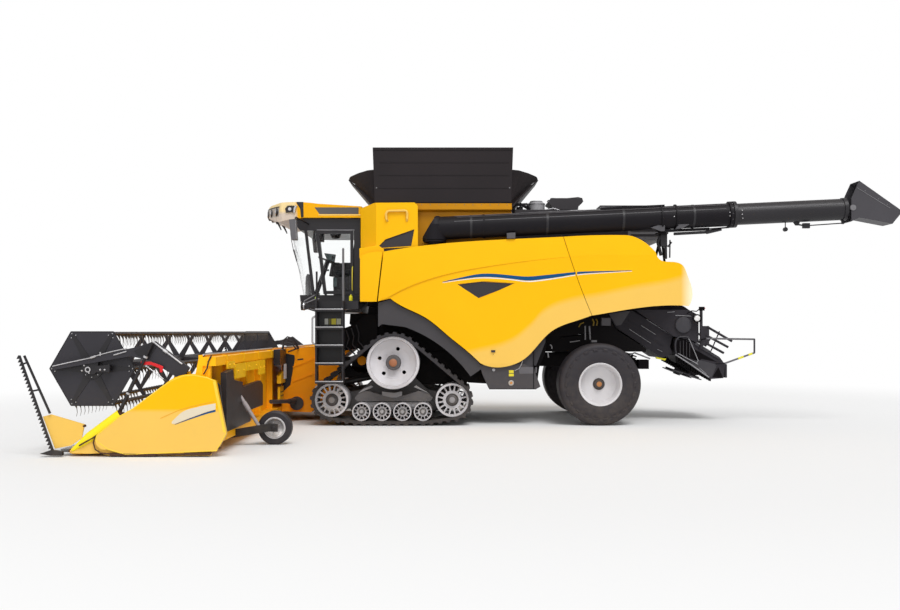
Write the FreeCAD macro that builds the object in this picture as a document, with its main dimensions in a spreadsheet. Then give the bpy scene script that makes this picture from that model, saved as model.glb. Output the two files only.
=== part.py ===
"""Self-propelled combine harvester on front track units, with a 12.5 m grain header on its feeder house.

Frame: +X forward, +Y to the machine's left, +Z up, ground at Z = 0, millimetres.
The origin is on the ground, in the middle of the overall length and width.
"""
import FreeCAD, Part
import math
import os
import re

V = FreeCAD.Vector
os.makedirs("parts", exist_ok=True)
doc = FreeCAD.newDocument("combine_harvester")

# Driving dimensions in millimetres. Every x, y or z is a place in the machine's frame.
DIMENSIONS = {
    # track units
    "drive_x": 2130, "drive_z": 1106, "drive_reach": 545,
    "front_idler_x": 3214, "rear_idler_x": 1086, "idler_z": 449, "idler_reach": 374,
    "roller_z": 240, "roller_radius": 160, "first_roller_x": 2690, "roller_pitch": 362,
    "belt_thickness": 75, "lug_height": 30, "belt_width": 720, "track_y": 1390,
    "wheel_gap": 4,
    # rear axle
    "rear_axle_x": -1519, "rear_axle_z": 725, "kingpin_y": 930,
    "tyre_radius": 725, "tyre_width": 600, "tyre_y": 1450, "rim_radius": 371,
    # body
    "panel_y": 1650, "panel_thickness": 45, "body_half": 1180, "core_half": 880,
    "rail_y": 500, "rail_width": 110, "rail_z": 1010, "rail_height": 240,
    # cab
    "cab_half": 1000, "cab_floor_z": 2330, "glass": 14,
    # grain tank
    "tank_rear_x": 15, "tank_front_x": 2485, "tank_half": 1330, "tank_top_z": 3960, "tank_wall": 40,
    "flap_thickness": 30, "side_flap_height": 980,
    # unloading auger
    "auger_y": 1450, "auger_z": 3496, "auger_radius": 205, "elbow_x": 1400, "fold_x": -3900,
    "auger_rise": 0.0468,
    # feeder house and header
    "feeder_half": 740, "header_half": 6130,
    "reel_x": 5945, "reel_z": 1160, "reel_radius": 575, "reel_half": 5990,
    "intake_x": 5060, "intake_z": 500, "drum_radius": 150, "flight_reach": 270,
    "sheet_top": 1345,
}


def fill_sheet():
    """Writes the driving dimensions into the spreadsheet, one aliased cell a row."""
    table = doc.addObject("Spreadsheet::Sheet", "Dims")
    for row, (name, value) in enumerate(DIMENSIONS.items(), start=1):
        table.set(f"A{row}", name)
        table.set(f"B{row}", str(value))
        table.setAlias(f"B{row}", name)
    doc.recompute()
    return table


sheet = fill_sheet()
nodes = {}


def size(name):
    """The value of one driving dimension, read back from the sheet."""
    return float(getattr(sheet, name))


def bind(thing, prop, rule):
    """Ties a property to the sheet. Every dimension's name in the rule becomes its cell."""
    def cell(word):
        return "Dims." + word.group() if word.group() in DIMENSIONS else word.group()
    thing.setExpression(prop, re.sub(r"[a-z]\w*", cell, str(rule)))


def node(label, thing):
    """Registers a finished sub-part under the name of its file."""
    thing.Label = label
    nodes[label] = thing
    return thing


def place(thing, x=0, y=0, z=0):
    for axis, rule in zip("xyz", (x, y, z)):
        bind(thing, f"Placement.Base.{axis}", rule)
    return thing


# ---------------------------------------------------------------- shapes shared by the sub-parts

def curve_edges(points):
    """One run of an outline: two points are a line, three an arc, more a spline through them."""
    at = [V(p[0], p[1], 0) for p in points]
    if len(at) == 2:
        return Part.LineSegment(at[0], at[1])
    if len(at) == 3:
        return Part.Arc(at[0], at[1], at[2])
    spline = Part.BSplineCurve()
    spline.interpolate(at)
    return spline


def draw(sketch, outline):
    """Adds a closed outline. A point is a corner; a list of points is a curved run to its last point."""
    here = outline[0]
    edges = []
    for item in outline[1:]:
        run = [here] + (item if isinstance(item, list) else [item])
        edges.append(curve_edges(run))
        here = run[-1]
    if math.dist(here, outline[0]) > 1e-6:
        edges.append(curve_edges([here, outline[0]]))
    sketch.addGeometry(edges, False)


PLANES = {"side": "XZ_Plane", "front": "YZ_Plane", "top": "XY_Plane"}


def plane_sketch(body, view, outlines, name="outline"):
    sketch = body.newObject("Sketcher::SketchObject", name)
    role = PLANES[view]
    plane = next(f for f in body.Origin.OriginFeatures if f.Role == role)
    sketch.AttachmentSupport = [(plane, "")]
    sketch.MapMode = "FlatFace"
    for outline in outlines:
        draw(sketch, outline)
    return sketch


def slab(name, view, outlines, depth, x=0, y=0, z=0):
    """A body padded both ways from its plane: outlines are in that view's own coordinates."""
    body = doc.addObject("PartDesign::Body", name)
    sketch = plane_sketch(body, view, outlines)
    pad = body.newObject("PartDesign::Pad", "pad")
    pad.Profile = sketch
    pad.Midplane = True
    bind(pad, "Length", depth)
    sketch.Visibility = False
    return place(body, x, y, z)


def flipped(outline):
    """The outline with its two coordinates exchanged."""
    return [flipped(item) if isinstance(item, list) else (item[1], item[0]) for item in outline]


def turned(name, profile, axis="y", x=0, y=0, z=0):
    """A revolved body. The profile's points are (along the axis, radius)."""
    body = doc.addObject("PartDesign::Body", name)
    if axis == "y":
        sketch = plane_sketch(body, "front", [profile])
        reference = (sketch, ["H_Axis"])
    elif axis == "x":
        sketch = plane_sketch(body, "side", [profile])
        reference = (sketch, ["H_Axis"])
    else:
        sketch = plane_sketch(body, "side", [flipped(profile)])
        reference = (sketch, ["V_Axis"])
    revolution = body.newObject("PartDesign::Revolution", "turn")
    revolution.Profile = sketch
    revolution.ReferenceAxis = reference
    revolution.Angle = 360
    return place(body, x, y, z)


def box(name, x, y, z):
    """A block between two places along each axis, each place a number or a rule."""
    block = doc.addObject("Part::Box", name)
    for prop, (low, high) in zip(("Length", "Width", "Height"), (x, y, z)):
        bind(block, prop, f"({high}) - ({low})")
    return place(block, x[0], y[0], z[0])


AIM = {"x": (V(0, 1, 0), 90), "y": (V(1, 0, 0), -90), "z": (V(0, 0, 1), 0)}


def rod(name, axis, radius, start, end, x=0, y=0, z=0):
    """A round bar along one axis from start to end, centred on the other two places."""
    bar = doc.addObject("Part::Cylinder", name)
    bind(bar, "Radius", radius)
    bind(bar, "Height", f"({end}) - ({start})")
    bar.Placement = FreeCAD.Placement(V(0, 0, 0), FreeCAD.Rotation(*AIM[axis]))
    where = {"x": x, "y": y, "z": z}
    where[axis] = start
    return place(bar, where["x"], where["y"], where["z"])


def link(name, a, b, radius):
    """A round bar between two points in space."""
    bar = doc.addObject("Part::Cylinder", name)
    run = V(*b) - V(*a)
    bind(bar, "Radius", radius)
    bar.Height = run.Length
    bar.Placement = FreeCAD.Placement(V(*a), FreeCAD.Rotation(V(0, 0, 1), run))
    return bar


def spike(name, a, b, start, end):
    """A bar between two points in space that tapers from one radius to another."""
    bar = doc.addObject("Part::Cone", name)
    run = V(*b) - V(*a)
    bind(bar, "Radius1", start)
    bind(bar, "Radius2", end)
    bar.Height = run.Length
    bar.Placement = FreeCAD.Placement(V(*a), FreeCAD.Rotation(V(0, 0, 1), run))
    return bar


def bars(name, points, radius):
    """A bent round bar through the points, with a ball at each bend."""
    pieces = [link(name + "_run", a, b, radius) for a, b in zip(points, points[1:])]
    for point in points[1:-1]:
        ball = doc.addObject("Part::Sphere", name + "_bend")
        bind(ball, "Radius", radius)
        ball.Placement.Base = V(*point)
        pieces.append(ball)
    return fuse(name, pieces)


def fuse(name, pieces):
    if len(pieces) == 1:
        return pieces[0]
    joined = doc.addObject("Part::MultiFuse", name)
    joined.Shapes = pieces
    return joined


def cut(name, base, tool):
    left = doc.addObject("Part::Cut", name)
    left.Base = base
    left.Tool = tool
    return left


def common(name, a, b):
    both = doc.addObject("Part::MultiCommon", name)
    both.Shapes = [a, b]
    return both


def twin_of(thing):
    """The mirrored right-hand copy of a left-hand shape."""
    twin = doc.addObject("Part::Mirroring", thing.Name + "_twin")
    twin.Source = thing
    twin.Base = V(0, 0, 0)
    twin.Normal = V(0, 1, 0)
    return twin


def pair(name, thing):
    """Registers a left-hand sub-part and its mirrored right-hand twin as two nodes."""
    node("left_" + name, thing)
    node("right_" + name, twin_of(thing))


def both_sides(name, things):
    """Registers left-hand shapes and their mirrored twins as one node of separate solids."""
    node(name, fuse(name, things + [twin_of(thing) for thing in things]))


def many_sided(radius, sides):
    """A regular polygon, for round pieces small enough to be built of flats."""
    return [on_circle(0, 0, radius, 2 * math.pi * i / sides) for i in range(sides)]


def ring(radius, x=0, z=0):
    """A circle as two arcs."""
    return [(x + radius, z), [(x, z + radius), (x - radius, z)], [(x, z - radius), (x + radius, z)]]


# ---------------------------------------------------------------- track units

def belt_hull(shrink):
    """Arcs and straight runs of the belt's line round its wheels, moved inwards by shrink."""
    last_roller = size("first_roller_x") - 3 * size("roller_pitch")
    wheels = [
        (size("drive_x"), size("drive_z"), size("drive_reach")),
        (size("front_idler_x"), size("idler_z"), size("idler_reach")),
        (size("first_roller_x"), size("roller_z"), size("roller_z")),
        (last_roller, size("roller_z"), size("roller_z")),
        (size("rear_idler_x"), size("idler_z"), size("idler_reach")),
    ]
    wheels = [(x, z, r - shrink) for x, z, r in wheels]
    leaving = []
    for (xa, za, ra), (xb, zb, rb) in zip(wheels, wheels[1:] + wheels[:1]):
        heading = math.atan2(zb - za, xb - xa)
        lean = math.asin((ra - rb) / math.hypot(xb - xa, zb - za))
        leaving.append(heading + math.pi / 2 - lean)
    runs = []
    for i, (x, z, r) in enumerate(wheels):
        start = leaving[i - 1]
        end = leaving[i]
        while end > start:
            end -= 2 * math.pi
        runs.append((x, z, r, start, end))
    return runs


def on_circle(x, z, r, angle):
    return (x + r * math.cos(angle), z + r * math.sin(angle))


def belt_line(shrink):
    """The smooth loop as an outline."""
    outline = []
    for x, z, r, start, end in belt_hull(shrink):
        if not outline:
            outline.append(on_circle(x, z, r, start))
        elif math.dist(here, on_circle(x, z, r, start)) > 1e-6:
            outline.append(on_circle(x, z, r, start))
        here = on_circle(x, z, r, end)
        outline.append([on_circle(x, z, r, (start + end) / 2), here])
    return outline


def belt_points():
    """Places along the belt's outer line with their outward directions, as a function of length."""
    pieces = []
    runs = belt_hull(0)
    for i, (x, z, r, start, end) in enumerate(runs):
        pieces.append(("arc", abs(end - start) * r, (x, z, r, start, end)))
        xb, zb, rb, next_start, _ = runs[(i + 1) % len(runs)]
        a = on_circle(x, z, r, end)
        b = on_circle(xb, zb, rb, next_start)
        pieces.append(("run", math.dist(a, b), (a, b, end)))
    total = sum(p[1] for p in pieces)

    def at(s):
        s %= total
        for kind, length, data in pieces:
            if s <= length:
                break
            s -= length
        if kind == "arc":
            x, z, r, start, end = data
            angle = start + (end - start) * s / length
            return on_circle(x, z, r, angle), angle
        a, b, angle = data
        share = s / length if length else 0
        return (a[0] + (b[0] - a[0]) * share, a[1] + (b[1] - a[1]) * share), angle
    return at, total


def lugged_line():
    """The outer outline: rubber lugs standing on the belt, their tops on the hull."""
    at, total = belt_points()
    count = 48
    step = total / count
    depth = size("lug_height")
    outline = []
    for i in range(count):
        for share, drop in ((0.06, depth), (0.16, 0), (0.50, 0), (0.60, depth)):
            (x, z), angle = at((i + share) * step)
            outline.append((x - drop * math.cos(angle), z - drop * math.sin(angle)))
    return outline


def wheel_disc(name, radius, hub_radius, slots, x, z):
    """A track wheel: rim, thin web with trapezoid openings between its spokes, and a hub."""
    rim = radius * 0.88
    half_spoke = radius * 0.045
    outlines = [ring(radius)]
    for i in range(slots):
        middle = 2 * math.pi * i / slots
        span = math.pi / slots
        inner = radius * 0.56
        corners = []
        for r, side in ((inner, 1), (rim, 1), (rim, -1), (inner, -1)):
            angle = middle + side * (span - half_spoke / r)
            corners.append(on_circle(0, 0, r, angle))
        outlines.append(corners)
    web = slab(name + "_web", "side", outlines, 80, x, "track_y + 170", z)
    outer = rod(name + "_rim", "y", radius, "track_y - 250", "track_y + 290", x, 0, z)
    hollow = rod(name + "_hollow", "y", rim, "track_y - 260", "track_y + 300", x, 0, z)
    rim_ring = cut(name + "_ring", outer, hollow)
    hub = rod(name + "_hub", "y", hub_radius, "track_y - 250", "track_y + 250", x, 0, z)
    return fuse(name, [rim_ring, web, hub])


def drive_wheel():
    """The driven wheel: a dished steel disc with four hand holes in a wide rim."""
    r = size("drive_reach") - size("belt_thickness") - size("wheel_gap")
    outer = [
        (-240, r), (310, r), (310, r - 45), (215, r - 60), (160, r * 0.62), (120, r * 0.30),
        (250, r * 0.24), (250, 0), (-330, 0), (-330, 120), (60, 120), (100, r * 0.60),
        (150, r - 90), (150, r - 45), (-240, r - 45),
    ]
    disc = turned("drive_disc", outer, "y", "drive_x", "track_y", "drive_z")
    holes = []
    for turn in (108, 18, -48, 222):
        angle = math.radians(turn)
        hole = rod("hand_hole", "y", 34, "track_y - 100", "track_y + 300",
                   f"drive_x + {r * 0.55 * math.cos(angle)}", 0, f"drive_z + {r * 0.55 * math.sin(angle)}")
        holes.append(hole)
    return cut("drive_wheel", disc, fuse("hand_holes", holes))


def track_units():
    belt = slab("track_belt", "side", [lugged_line(), belt_line(size("belt_thickness"))], "belt_width", 0,
        "track_y", 0)
    pair("track_belt", belt)
    idler_radius = size("idler_reach") - size("belt_thickness") - size("wheel_gap")
    wheels = [
        drive_wheel(),
        wheel_disc("front_idler", idler_radius, 85, 16, "front_idler_x", "idler_z"),
        wheel_disc("rear_idler", idler_radius, 85, 16, "rear_idler_x", "idler_z"),
    ]
    for i in range(4):
        wheels.append(wheel_disc("roller", size("roller_radius"), 45, 12,
                                 f"first_roller_x - {i} * roller_pitch", "roller_z"))
    both_sides("track_wheels", wheels)
    both_sides("track_frames", [track_frame()])


def track_frame():
    """The undercarriage beam between the wheel rows, with its swing bearing and its axle stubs."""
    x = size("drive_x")
    beam = [
        (x + 600, 585), (x + 445, 600), [(x + 330, 560), (x + 100, 500)], (x - 100, 500),
        [(x - 330, 560), (x - 445, 600)], (x - 600, 585), (x - 700, 470), (x - 650, 415), (x + 650, 415),
        (x + 700, 470),
    ]
    front = size("front_idler_x")
    rear = size("rear_idler_x")
    arm = [
        (front + 60, 510), (x + 600, 600), (x + 250, 940), (x - 250, 940), (x - 600, 600), (rear - 60, 510),
        (rear - 60, 390), (1500, 200), (2790, 200), (front + 60, 390),
    ]
    outer = slab("frame_beam", "side", [beam], 60, 0, "track_y + 60", 0)
    inner = slab("frame_beam_inner", "side", [arm], 100, 0, "track_y - 305", 0)
    bridge = box("frame_bridge", ("drive_x - 300", "drive_x + 300"),
                 ("track_y - 300", "track_y + 60"), (425, 495))
    return fuse("track_frame", [outer, inner, bridge])


# ---------------------------------------------------------------- chassis and rear axle

def chassis():
    block = box("hitch_block", (-2560, -2290), (-120, 120), (1010, 1110))
    hitch = cut("hitch", block, rod("hitch_pin_bore", "z", 16.5, 1000, 1120, -2500, 0))
    rails = [box("rail", (-2300, 2360),
        (f"{side} * rail_y - rail_width / 2", f"{side} * rail_y + rail_width / 2"),
                 ("rail_z", "rail_z + rail_height")) for side in (-1, 1)]
    ties = [box("cross_member", (x, x + 160), ("-rail_y", "rail_y"),
        ("rail_z + 30", "rail_z + rail_height - 30"))
            for x in (-2200, -600, 700)]
    axle = rod("drive_axle", "y", 130, "-track_y + 340", "track_y - 340", "drive_x", 0, "drive_z")
    pivot = box("axle_saddle", ("rear_axle_x - 130", "rear_axle_x + 130"), (-445, 445), (900, "rail_z"))
    final_drives = [slab("final_drive", "side", [ring(270)], 90, "drive_x", f"{side} * 985", "drive_z")
                    for side in (-1, 1)]
    belly = [(2350, 1284), (2350, 780), (2100, 690), (900, 690), (480, 860), (300, 1284)]
    housing = slab("fan_housing", "side", [belly], 1880)
    node("chassis_frame", fuse("chassis_frame", rails + ties + [axle, pivot, hitch, housing] + final_drives))
    beam = box("axle_tube", ("rear_axle_x - 90", "rear_axle_x + 90"),
        ("-kingpin_y + 95", "kingpin_y - 95"), (640, 810))
    saddle = rod("axle_pivot", "x", 80, "rear_axle_x - 190", "rear_axle_x + 190", 0, 0, 820)
    node("rear_axle", fuse("rear_axle", [beam, saddle]))
    fork = rod("knuckle_block", "z", 78, 600, 850, "rear_axle_x", "kingpin_y")
    stub = rod("knuckle_stub", "y", 70, "kingpin_y", "tyre_y - 135", "rear_axle_x", 0, "rear_axle_z")
    pair("knuckle", fuse("knuckle", [fork, stub]))
    pair("rear_wheel", rear_wheel())


def rear_wheel():
    """A wide flotation tyre on its steel rim, with a dished centre."""
    r = size("tyre_radius")
    w = size("tyre_width") / 2
    rim = size("rim_radius")
    tyre = [
        (-w + 20, rim), [(-w - 5, rim + 150), (-w + 10, r - 110)], [(-w + 30, r - 30), (-w + 100, r)],
        (w - 100, r), [(w - 30, r - 30), (w - 10, r - 110)], [(w + 5, rim + 150), (w - 20, rim)],
        (w - 30, rim - 22), (70, rim - 60), (70, 110), (110, 95), (110, 0), (-120, 0), (-120, 150),
        (20, 150), (20, rim - 100),
        (-w + 30, rim - 22),
    ]
    return turned("rear_wheel", tyre, "y", "rear_axle_x", "tyre_y", "rear_axle_z")


# ---------------------------------------------------------------- body

def body_core():
    """The threshing body between the tracks and the wider upper body behind the side panels."""
    lower = [
        (2380, 1290), (2380, 2120), (2640, 2120), (2640, 2260), (-2750, 2260), (-2700, 2070),
        (-1640, 2060), (-1560, 1640),
        (-900, 1560), (-620, 1290),
    ]
    core = slab("threshing_core", "side", [lower], "2 * core_half")
    upper = [
        (2640, 2245), (2640, 2960), (2560, 3010), (0, 3160), (-1900, 3190), (-2300, 3100), (-2640, 2830),
        (-2950, 2700),
        (-3080, 2300), (-2980, 2245),
    ]
    wide = slab("upper_core", "side", [upper], "2 * body_half")
    sieve = [
        (-560, 1285), (-2500, 1285), (-2500, 1345), (-1990, 1664), (-1925, 1728), (-1782, 2010),
        (-1758, 2055), (-1500, 2055),
        (-1500, 1600), (-800, 1540),
    ]
    shaker = slab("sieve_housing", "side", [sieve], 1560)
    pieces = [core, wide, shaker]
    front = [(2370, 2110), (2370, 1292), (2640, 1292), (2700, 1500), (2975, 1800), (2960, 1985),
        (2640, 1990), (2620, 2110)]
    for side in (-1, 1):
        pieces.append(slab("front_plate", "side", [front], 90, 0, side * 835, 0))
    for start in (-2560, -2790):
        pieces.append(link("auger_cradle", (start, 1110, 2790), (-2655, 1400, 3405), 22))
    pieces.append(box("cradle_pad", (-2750, -2560), (1340, 1560), (3393, 3417)))
    node("machine_body", fuse("machine_body", pieces))


FRONT_TOP = [(1302, 3210), (103, 3291), (-878, 3337)]


def panel_shell(name):
    """The bowed sheet that both side panels are cut from: upright below, leaning in at the top."""
    y = size("panel_y")
    t = size("panel_thickness")
    section = [
        (y - 30, 1000), [(y - 4, 1300), (y, 1700)], (y, 2450), [(y - 12, 2900), (y - 60, 3380)],
        (y - 60 - t, 3380), [(y - 12 - t, 2900), (y - t, 2450)], (y - t, 1700),
        [(y - 4 - t, 1300), (y - 30 - t, 1000)],
    ]
    return slab(name, "front", [section], 6200, -200)


def side_panels():
    front = [
        (2298, 3071), FRONT_TOP, [(-1050, 2800), (-1382, 1942)],
        [(-1094, 1844), (-688, 1674), (-418, 1404), (-182, 1167), (22, 1067), (392, 1031), (595, 1102)],
        [(857, 1342), (1137, 1566), (1559, 1904), (2008, 2126), (2179, 2243)], (2398, 2192),
    ]
    rear = [
        (-888, 3337), [(-1400, 3362), (-1982, 3365)], [(-2187, 3316), (-2369, 3203), (-2512, 3062)],
        [(-2653, 2900), (-2856, 2885), (-2976, 2839), (-3077, 2638), (-3139, 2474), (-3160, 2292),
        (-3098, 2108)],
        [(-2378, 2096), (-1905, 2029), (-1392, 1940)], [(-1060, 2800), (-888, 3337)],
    ]
    below_crease = [
        (2720, 2060), (2203, 2268), [(1938, 2409), (295, 2833), (-942, 2974), (-2214, 3027)], (-3400, 3040),
        (-3400, 900), (2720, 900),
    ]
    corner = [(2714, 2186), (2714, 2990), [(2600, 3040), (2320, 3066)], (2420, 2186)]
    for name, outline in (("front_panel", front), ("rear_panel", rear), ("corner_panel", corner)):
        shell = panel_shell(name + "_shell")
        prism = slab(name + "_prism", "side", [outline], 400, 0, "panel_y", 0)
        panel = common(name, shell, prism)
        panel = cut(name + "_creased", panel, slab(name + "_relief", "side", [below_crease], 60, 0, 1660, 0))
        if name == "front_panel":
            vent = [(1001, 2497), (507, 2550), (-23, 2515), (595, 2232)]
            panel = cut(name + "_vented", panel, slab("vent_recess", "side", [vent], 80, 0, "panel_y", 0))
        if name == "corner_panel":
            both_sides("front_body_panels", [panel, shoulder_panel()])
        else:
            pair(name, panel)


def fenders():
    """The black guard that follows the arch of the side panel over each track."""
    band = [
        (2400, 2170), (2180, 2228), [(2008, 2110), (1559, 1888), (1137, 1550), (857, 1326), (595, 1086)],
        (560, 1000), (760, 860), [(1275, 1390), (1925, 1738)], (2331, 1790), (2400, 1738),
    ]
    guard = slab("track_fender", "side", [band], 525, 0, 1302, 0)
    tank = [(595, 1060), (550, 900), (430, 640), (-240, 640), (-360, 1000), (-200, 1080)]
    both_sides("track_fenders", [guard, slab("side_box", "side", [tank], 525, 0, 1302, 0)])


def shoulder_panel():
    """Front of the upper body behind the cab, chamfered forwards, with its dark corner recess."""
    outline = [(1695, 3165), (2740, 3120), (2740, 3885), (2480, 3950), (1760, 3955), (1700, 3900)]
    plan = [(1695, 1500), (2440, 1500), (2740, 1200), (2740, 1130), (2705, 1165), (2490, 1380), (1695, 1380)]
    shoulder = common("shoulder", slab("shoulder_side", "side", [outline], 600, 0, 1300, 0),
                      slab("shoulder_plan", "top", [plan], 1200, 0, 0, 3500))
    window = [(2433, 3140), (2274, 3300), (1760, 3480), (1815, 3180)]
    recess = slab("shoulder_window", "side", [window], 60, 0, 1500, 0)
    return cut("shoulder_panel", shoulder, recess)


def engine_bay():
    node("engine", box("engine", (-1900, -700), (-560, 560), (3200, 3800)))
    deck = [(-60, 3195), (-60, 3880), (-1980, 3880), [(-2080, 3850), (-2120, 3760)], (-2120, 3215)]
    hollow = [(-110, 3100), (-110, 3830), (-1980, 3830), [(-2040, 3810), (-2070, 3750)], (-2070, 3100)]
    hood = slab("engine_hood_outer", "side", [deck], 2100)
    inside = slab("engine_hood_hollow", "side", [hollow], 2000)
    node("engine_hood", cut("engine_hood", hood, inside))
    drum = [(3885, 0), (3885, 158), (4065, 158), (4098, 125), (4106, 0)]
    intake = turned("air_intake", drum, "z", -505, 370, 0)
    stack = rod("exhaust_stack", "z", 90, 3885, 4130, -900, -500, 0)
    cover = [(-690, 4062), (-760, 4140), (-1230, 4125), (-1345, 4078), (-1330, 4045), (-1255, 4020),
        (-1250, 3950), (-860, 3950)]
    lid = slab("deck_cover", "side", [cover], 620, 0, 380, 0)
    stand = box("deck_cover_stand", (-1200, -900), (200, 560), (3885, 3990))
    node("deck_fittings", fuse("deck_fittings", [intake, stack, lid, stand]))


# ---------------------------------------------------------------- cab

def crescent(z, rear_x, front_x, inset):
    """A bowed strip in plan at one height, from one side of the cab to the other."""
    half = size("cab_half") - inset
    wall = size("glass")
    points = [V(rear_x, -half, z), V(front_x, 0, z), V(rear_x, half, z)]
    back = [V(p.x - wall, p.y, z) for p in points]
    edges = [
        Part.Arc(*points).toShape(), Part.LineSegment(points[2], back[2]).toShape(),
        Part.Arc(*back).toShape(), Part.LineSegment(back[0], points[0]).toShape(),
    ]
    return Part.Wire(Part.__sortEdges__(edges))


def windscreen():
    """The bowed pane, leaning forward to the roof."""
    bottom = crescent(size("cab_floor_z") + 5, 3625, 3925, 62)
    top = crescent(3505, 3770, 4150, 62)
    pane = doc.addObject("Part::Feature", "windscreen")
    pane.Shape = Part.makeLoft([bottom, top], True, True)
    return pane


def cab():
    half = "cab_half"
    floor = [(2740, 2010), (3560, 2010), (3790, 2080), (3860, 2200), (3870, 2325), (2740, 2325)]
    deck = slab("cab_deck", "side", [floor], "2 * cab_half")
    walkway = box("walkway", (2740, 3480), ("cab_half - 10", 1700), (2050, 2200))
    lamp = slab("step_lamp", "side", [ring(55)], 90, 3700, 1290, 2110)
    lamp_arm = box("step_lamp_arm", (3470, 3660), (1260, 1320), (2085, 2135))
    stand = box("lamp_stand", (3440, 3480), (1200, 1380), (2050, 2200))
    right_step = box("right_step", (2900, 3480), (-1350, "-cab_half + 10"), (2050, 2200))
    node("cab_floor", fuse("cab_floor", [deck, walkway, lamp, lamp_arm, stand, right_step]))
    pieces = [box("rear_wall", (2770, 2825), ("-cab_half", half), (2330, 3505))]
    front_pillar = [(3650, 2330), (3600, 2330), (3740, 3505), (3790, 3505)]
    for side in (-1, 1):
        y = f"{side} * (cab_half - 28)"
        pieces.append(slab("front_pillar", "side", [front_pillar], 55, 0, y, 0))
        pieces.append(box("rear_pillar", (2820, 2880), (f"{y} - 28", f"{y} + 28"), (2330, 3505)))
        arm = [(3700, side * 950, 3620), (3880, side * 1420, 3700), (3890, side * 1500, 3650)]
        pieces.append(bars("mirror_arm", arm, 14))
        pieces.append(slab("mirror_head", "side", [[(3850, 3290), (3935, 3290), (3975, 3640), (3870, 3650)]],
                           200, 0, side * 1500, 0))
    head_rail = [(2770, 3505), (3870, 3505), (3960, 3620), (3960, 3698), (3800, 3728), (2770, 3728)]
    pieces.append(slab("head_rail", "side", [head_rail], "2 * cab_half - 40"))
    node("cab_frame", fuse("cab_frame", pieces))
    side_view = [
        (2735, 3735), (3800, 3735), (4110, 3690), (4240, 3660), (4420, 3740), [(4560, 3810), (4600, 3890)],
        [(4520, 3955), (4354, 3990)], [(3900, 4020), (3540, 3990)], (2735, 3940),
    ]
    plan = [(2735, -1045), (4200, -1045), [(4610, 0), (4200, 1045)], (2735, 1045)]
    roof = common("cab_roof_blank", slab("cab_roof_side", "side", [side_view], 2120),
        slab("cab_roof_plan", "top", [plan], 900, 0, 0, 3850))
    for side in (-1, 1):
        groove = slab("roof_groove", "side", [[(2790, 3805), (3500, 3805), (3575, 3912), (2790, 3912)]],
            40, 0, side * 1045, 0)
        roof = cut("cab_roof_grooved", roof, groove)
    node("cab_roof", roof)
    side_glass = [(2885, 2335), (3595, 2335), (3735, 3500), (2885, 3500)]
    quarter = [(3455, 2335), (3595, 2335), (3735, 3500), (3594, 3500)]
    window = slab("right_window", "side", [side_glass], "glass", 0, "-cab_half + 20", 0)
    pane = slab("quarter_pane", "side", [quarter], "glass", 0, "cab_half - 20", 0)
    node("cab_glass", fuse("cab_glass", [windscreen(), window, pane]))
    door_edge = [(2890, 2340), (3435, 2340), (3575, 3495), (2890, 3495)]
    daylight = [(2945, 2400), (3392, 2400), (3517, 3440), (2945, 3440)]
    frame = slab("door_frame", "side", [door_edge, daylight], 34, 0, "cab_half + 22", 0)
    handle = box("door_handle", (3330, 3440), ("cab_half + 39", "cab_half + 62"), (2760, 2790))
    node("cab_door", fuse("cab_door", [frame, handle]))
    node("door_glass", slab("door_glass", "side", [daylight], 8, 0, "cab_half + 22", 0))
    seat()
    controls()


def seat():
    pedestal = box("seat_pedestal", (2950, 3220), (-200, 200), (2335, 2700))
    console = box("control_console", (2920, 3340), (-620, -330), (2335, 2950))
    node("seat_base", fuse("seat_base", [pedestal, console]))
    node("seat_cushion", box("seat_cushion", (2930, 3330), (-260, 260), (2705, 2840)))
    back = [(2885, 2850), (3010, 2850), (2945, 3420), (2855, 3420)]
    node("seat_back", slab("seat_back", "side", [back], 480))


def controls():
    column = link("steering_column", (3700, 0, 2380), (3480, 0, 3010), 45)
    wheel = slab("steering_rim", "top", [many_sided(198, 24), many_sided(172, 24)], 26)
    spokes = []
    for i in range(3):
        x, y = on_circle(0, 0, 182, math.radians(30 + 120 * i))
        spokes.append(link("wheel_spoke", (0, 0, 0), (x, y, 0), 10))
    wheel = fuse("steering_wheel", [wheel] + spokes)
    wheel.Placement = FreeCAD.Placement(V(3475, 0, 3022), FreeCAD.Rotation(V(0, 1, 0), -20))
    foot = box("column_foot", (3640, 3760), (-90, 90), (2335, 2400))
    node("steering_column", fuse("steering_column", [column, wheel, foot]))


def ladder():
    x = (2965, 3455)
    pieces = [box("stile", (a, a + 30), (1800, 2060), (760, 2190)) for a in (x[0], x[1] - 30)]
    for z in (800, 1120, 1430, 1740, 2050):
        pieces.append(box("tread", (x[0], x[1]), (1800, 2060), (z - 30, z)))
        pieces.append(box("tread_lip", (x[0], x[1]), (2040, 2075), (z - 45, z)))
    pieces.append(box("riser", (x[0], x[1]), (1800, 1812), (1120, 2190)))
    for post, top in ((x[0] + 15, 3100), (x[1] - 15, 2700)):
        pieces.append(bars("hand_rail", [(post, 1950, 2180), (post, 1950, top)], 17))
    grab = [(x[1] - 5, 2030, 1925), (x[1] + 50, 2030, 1890), (x[1] + 50, 2030, 1470), (x[1] - 5, 2030, 1430)]
    pieces.append(bars("grab_loop", grab, 13))
    node("ladder", fuse("ladder", pieces))


# ---------------------------------------------------------------- grain tank

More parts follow.
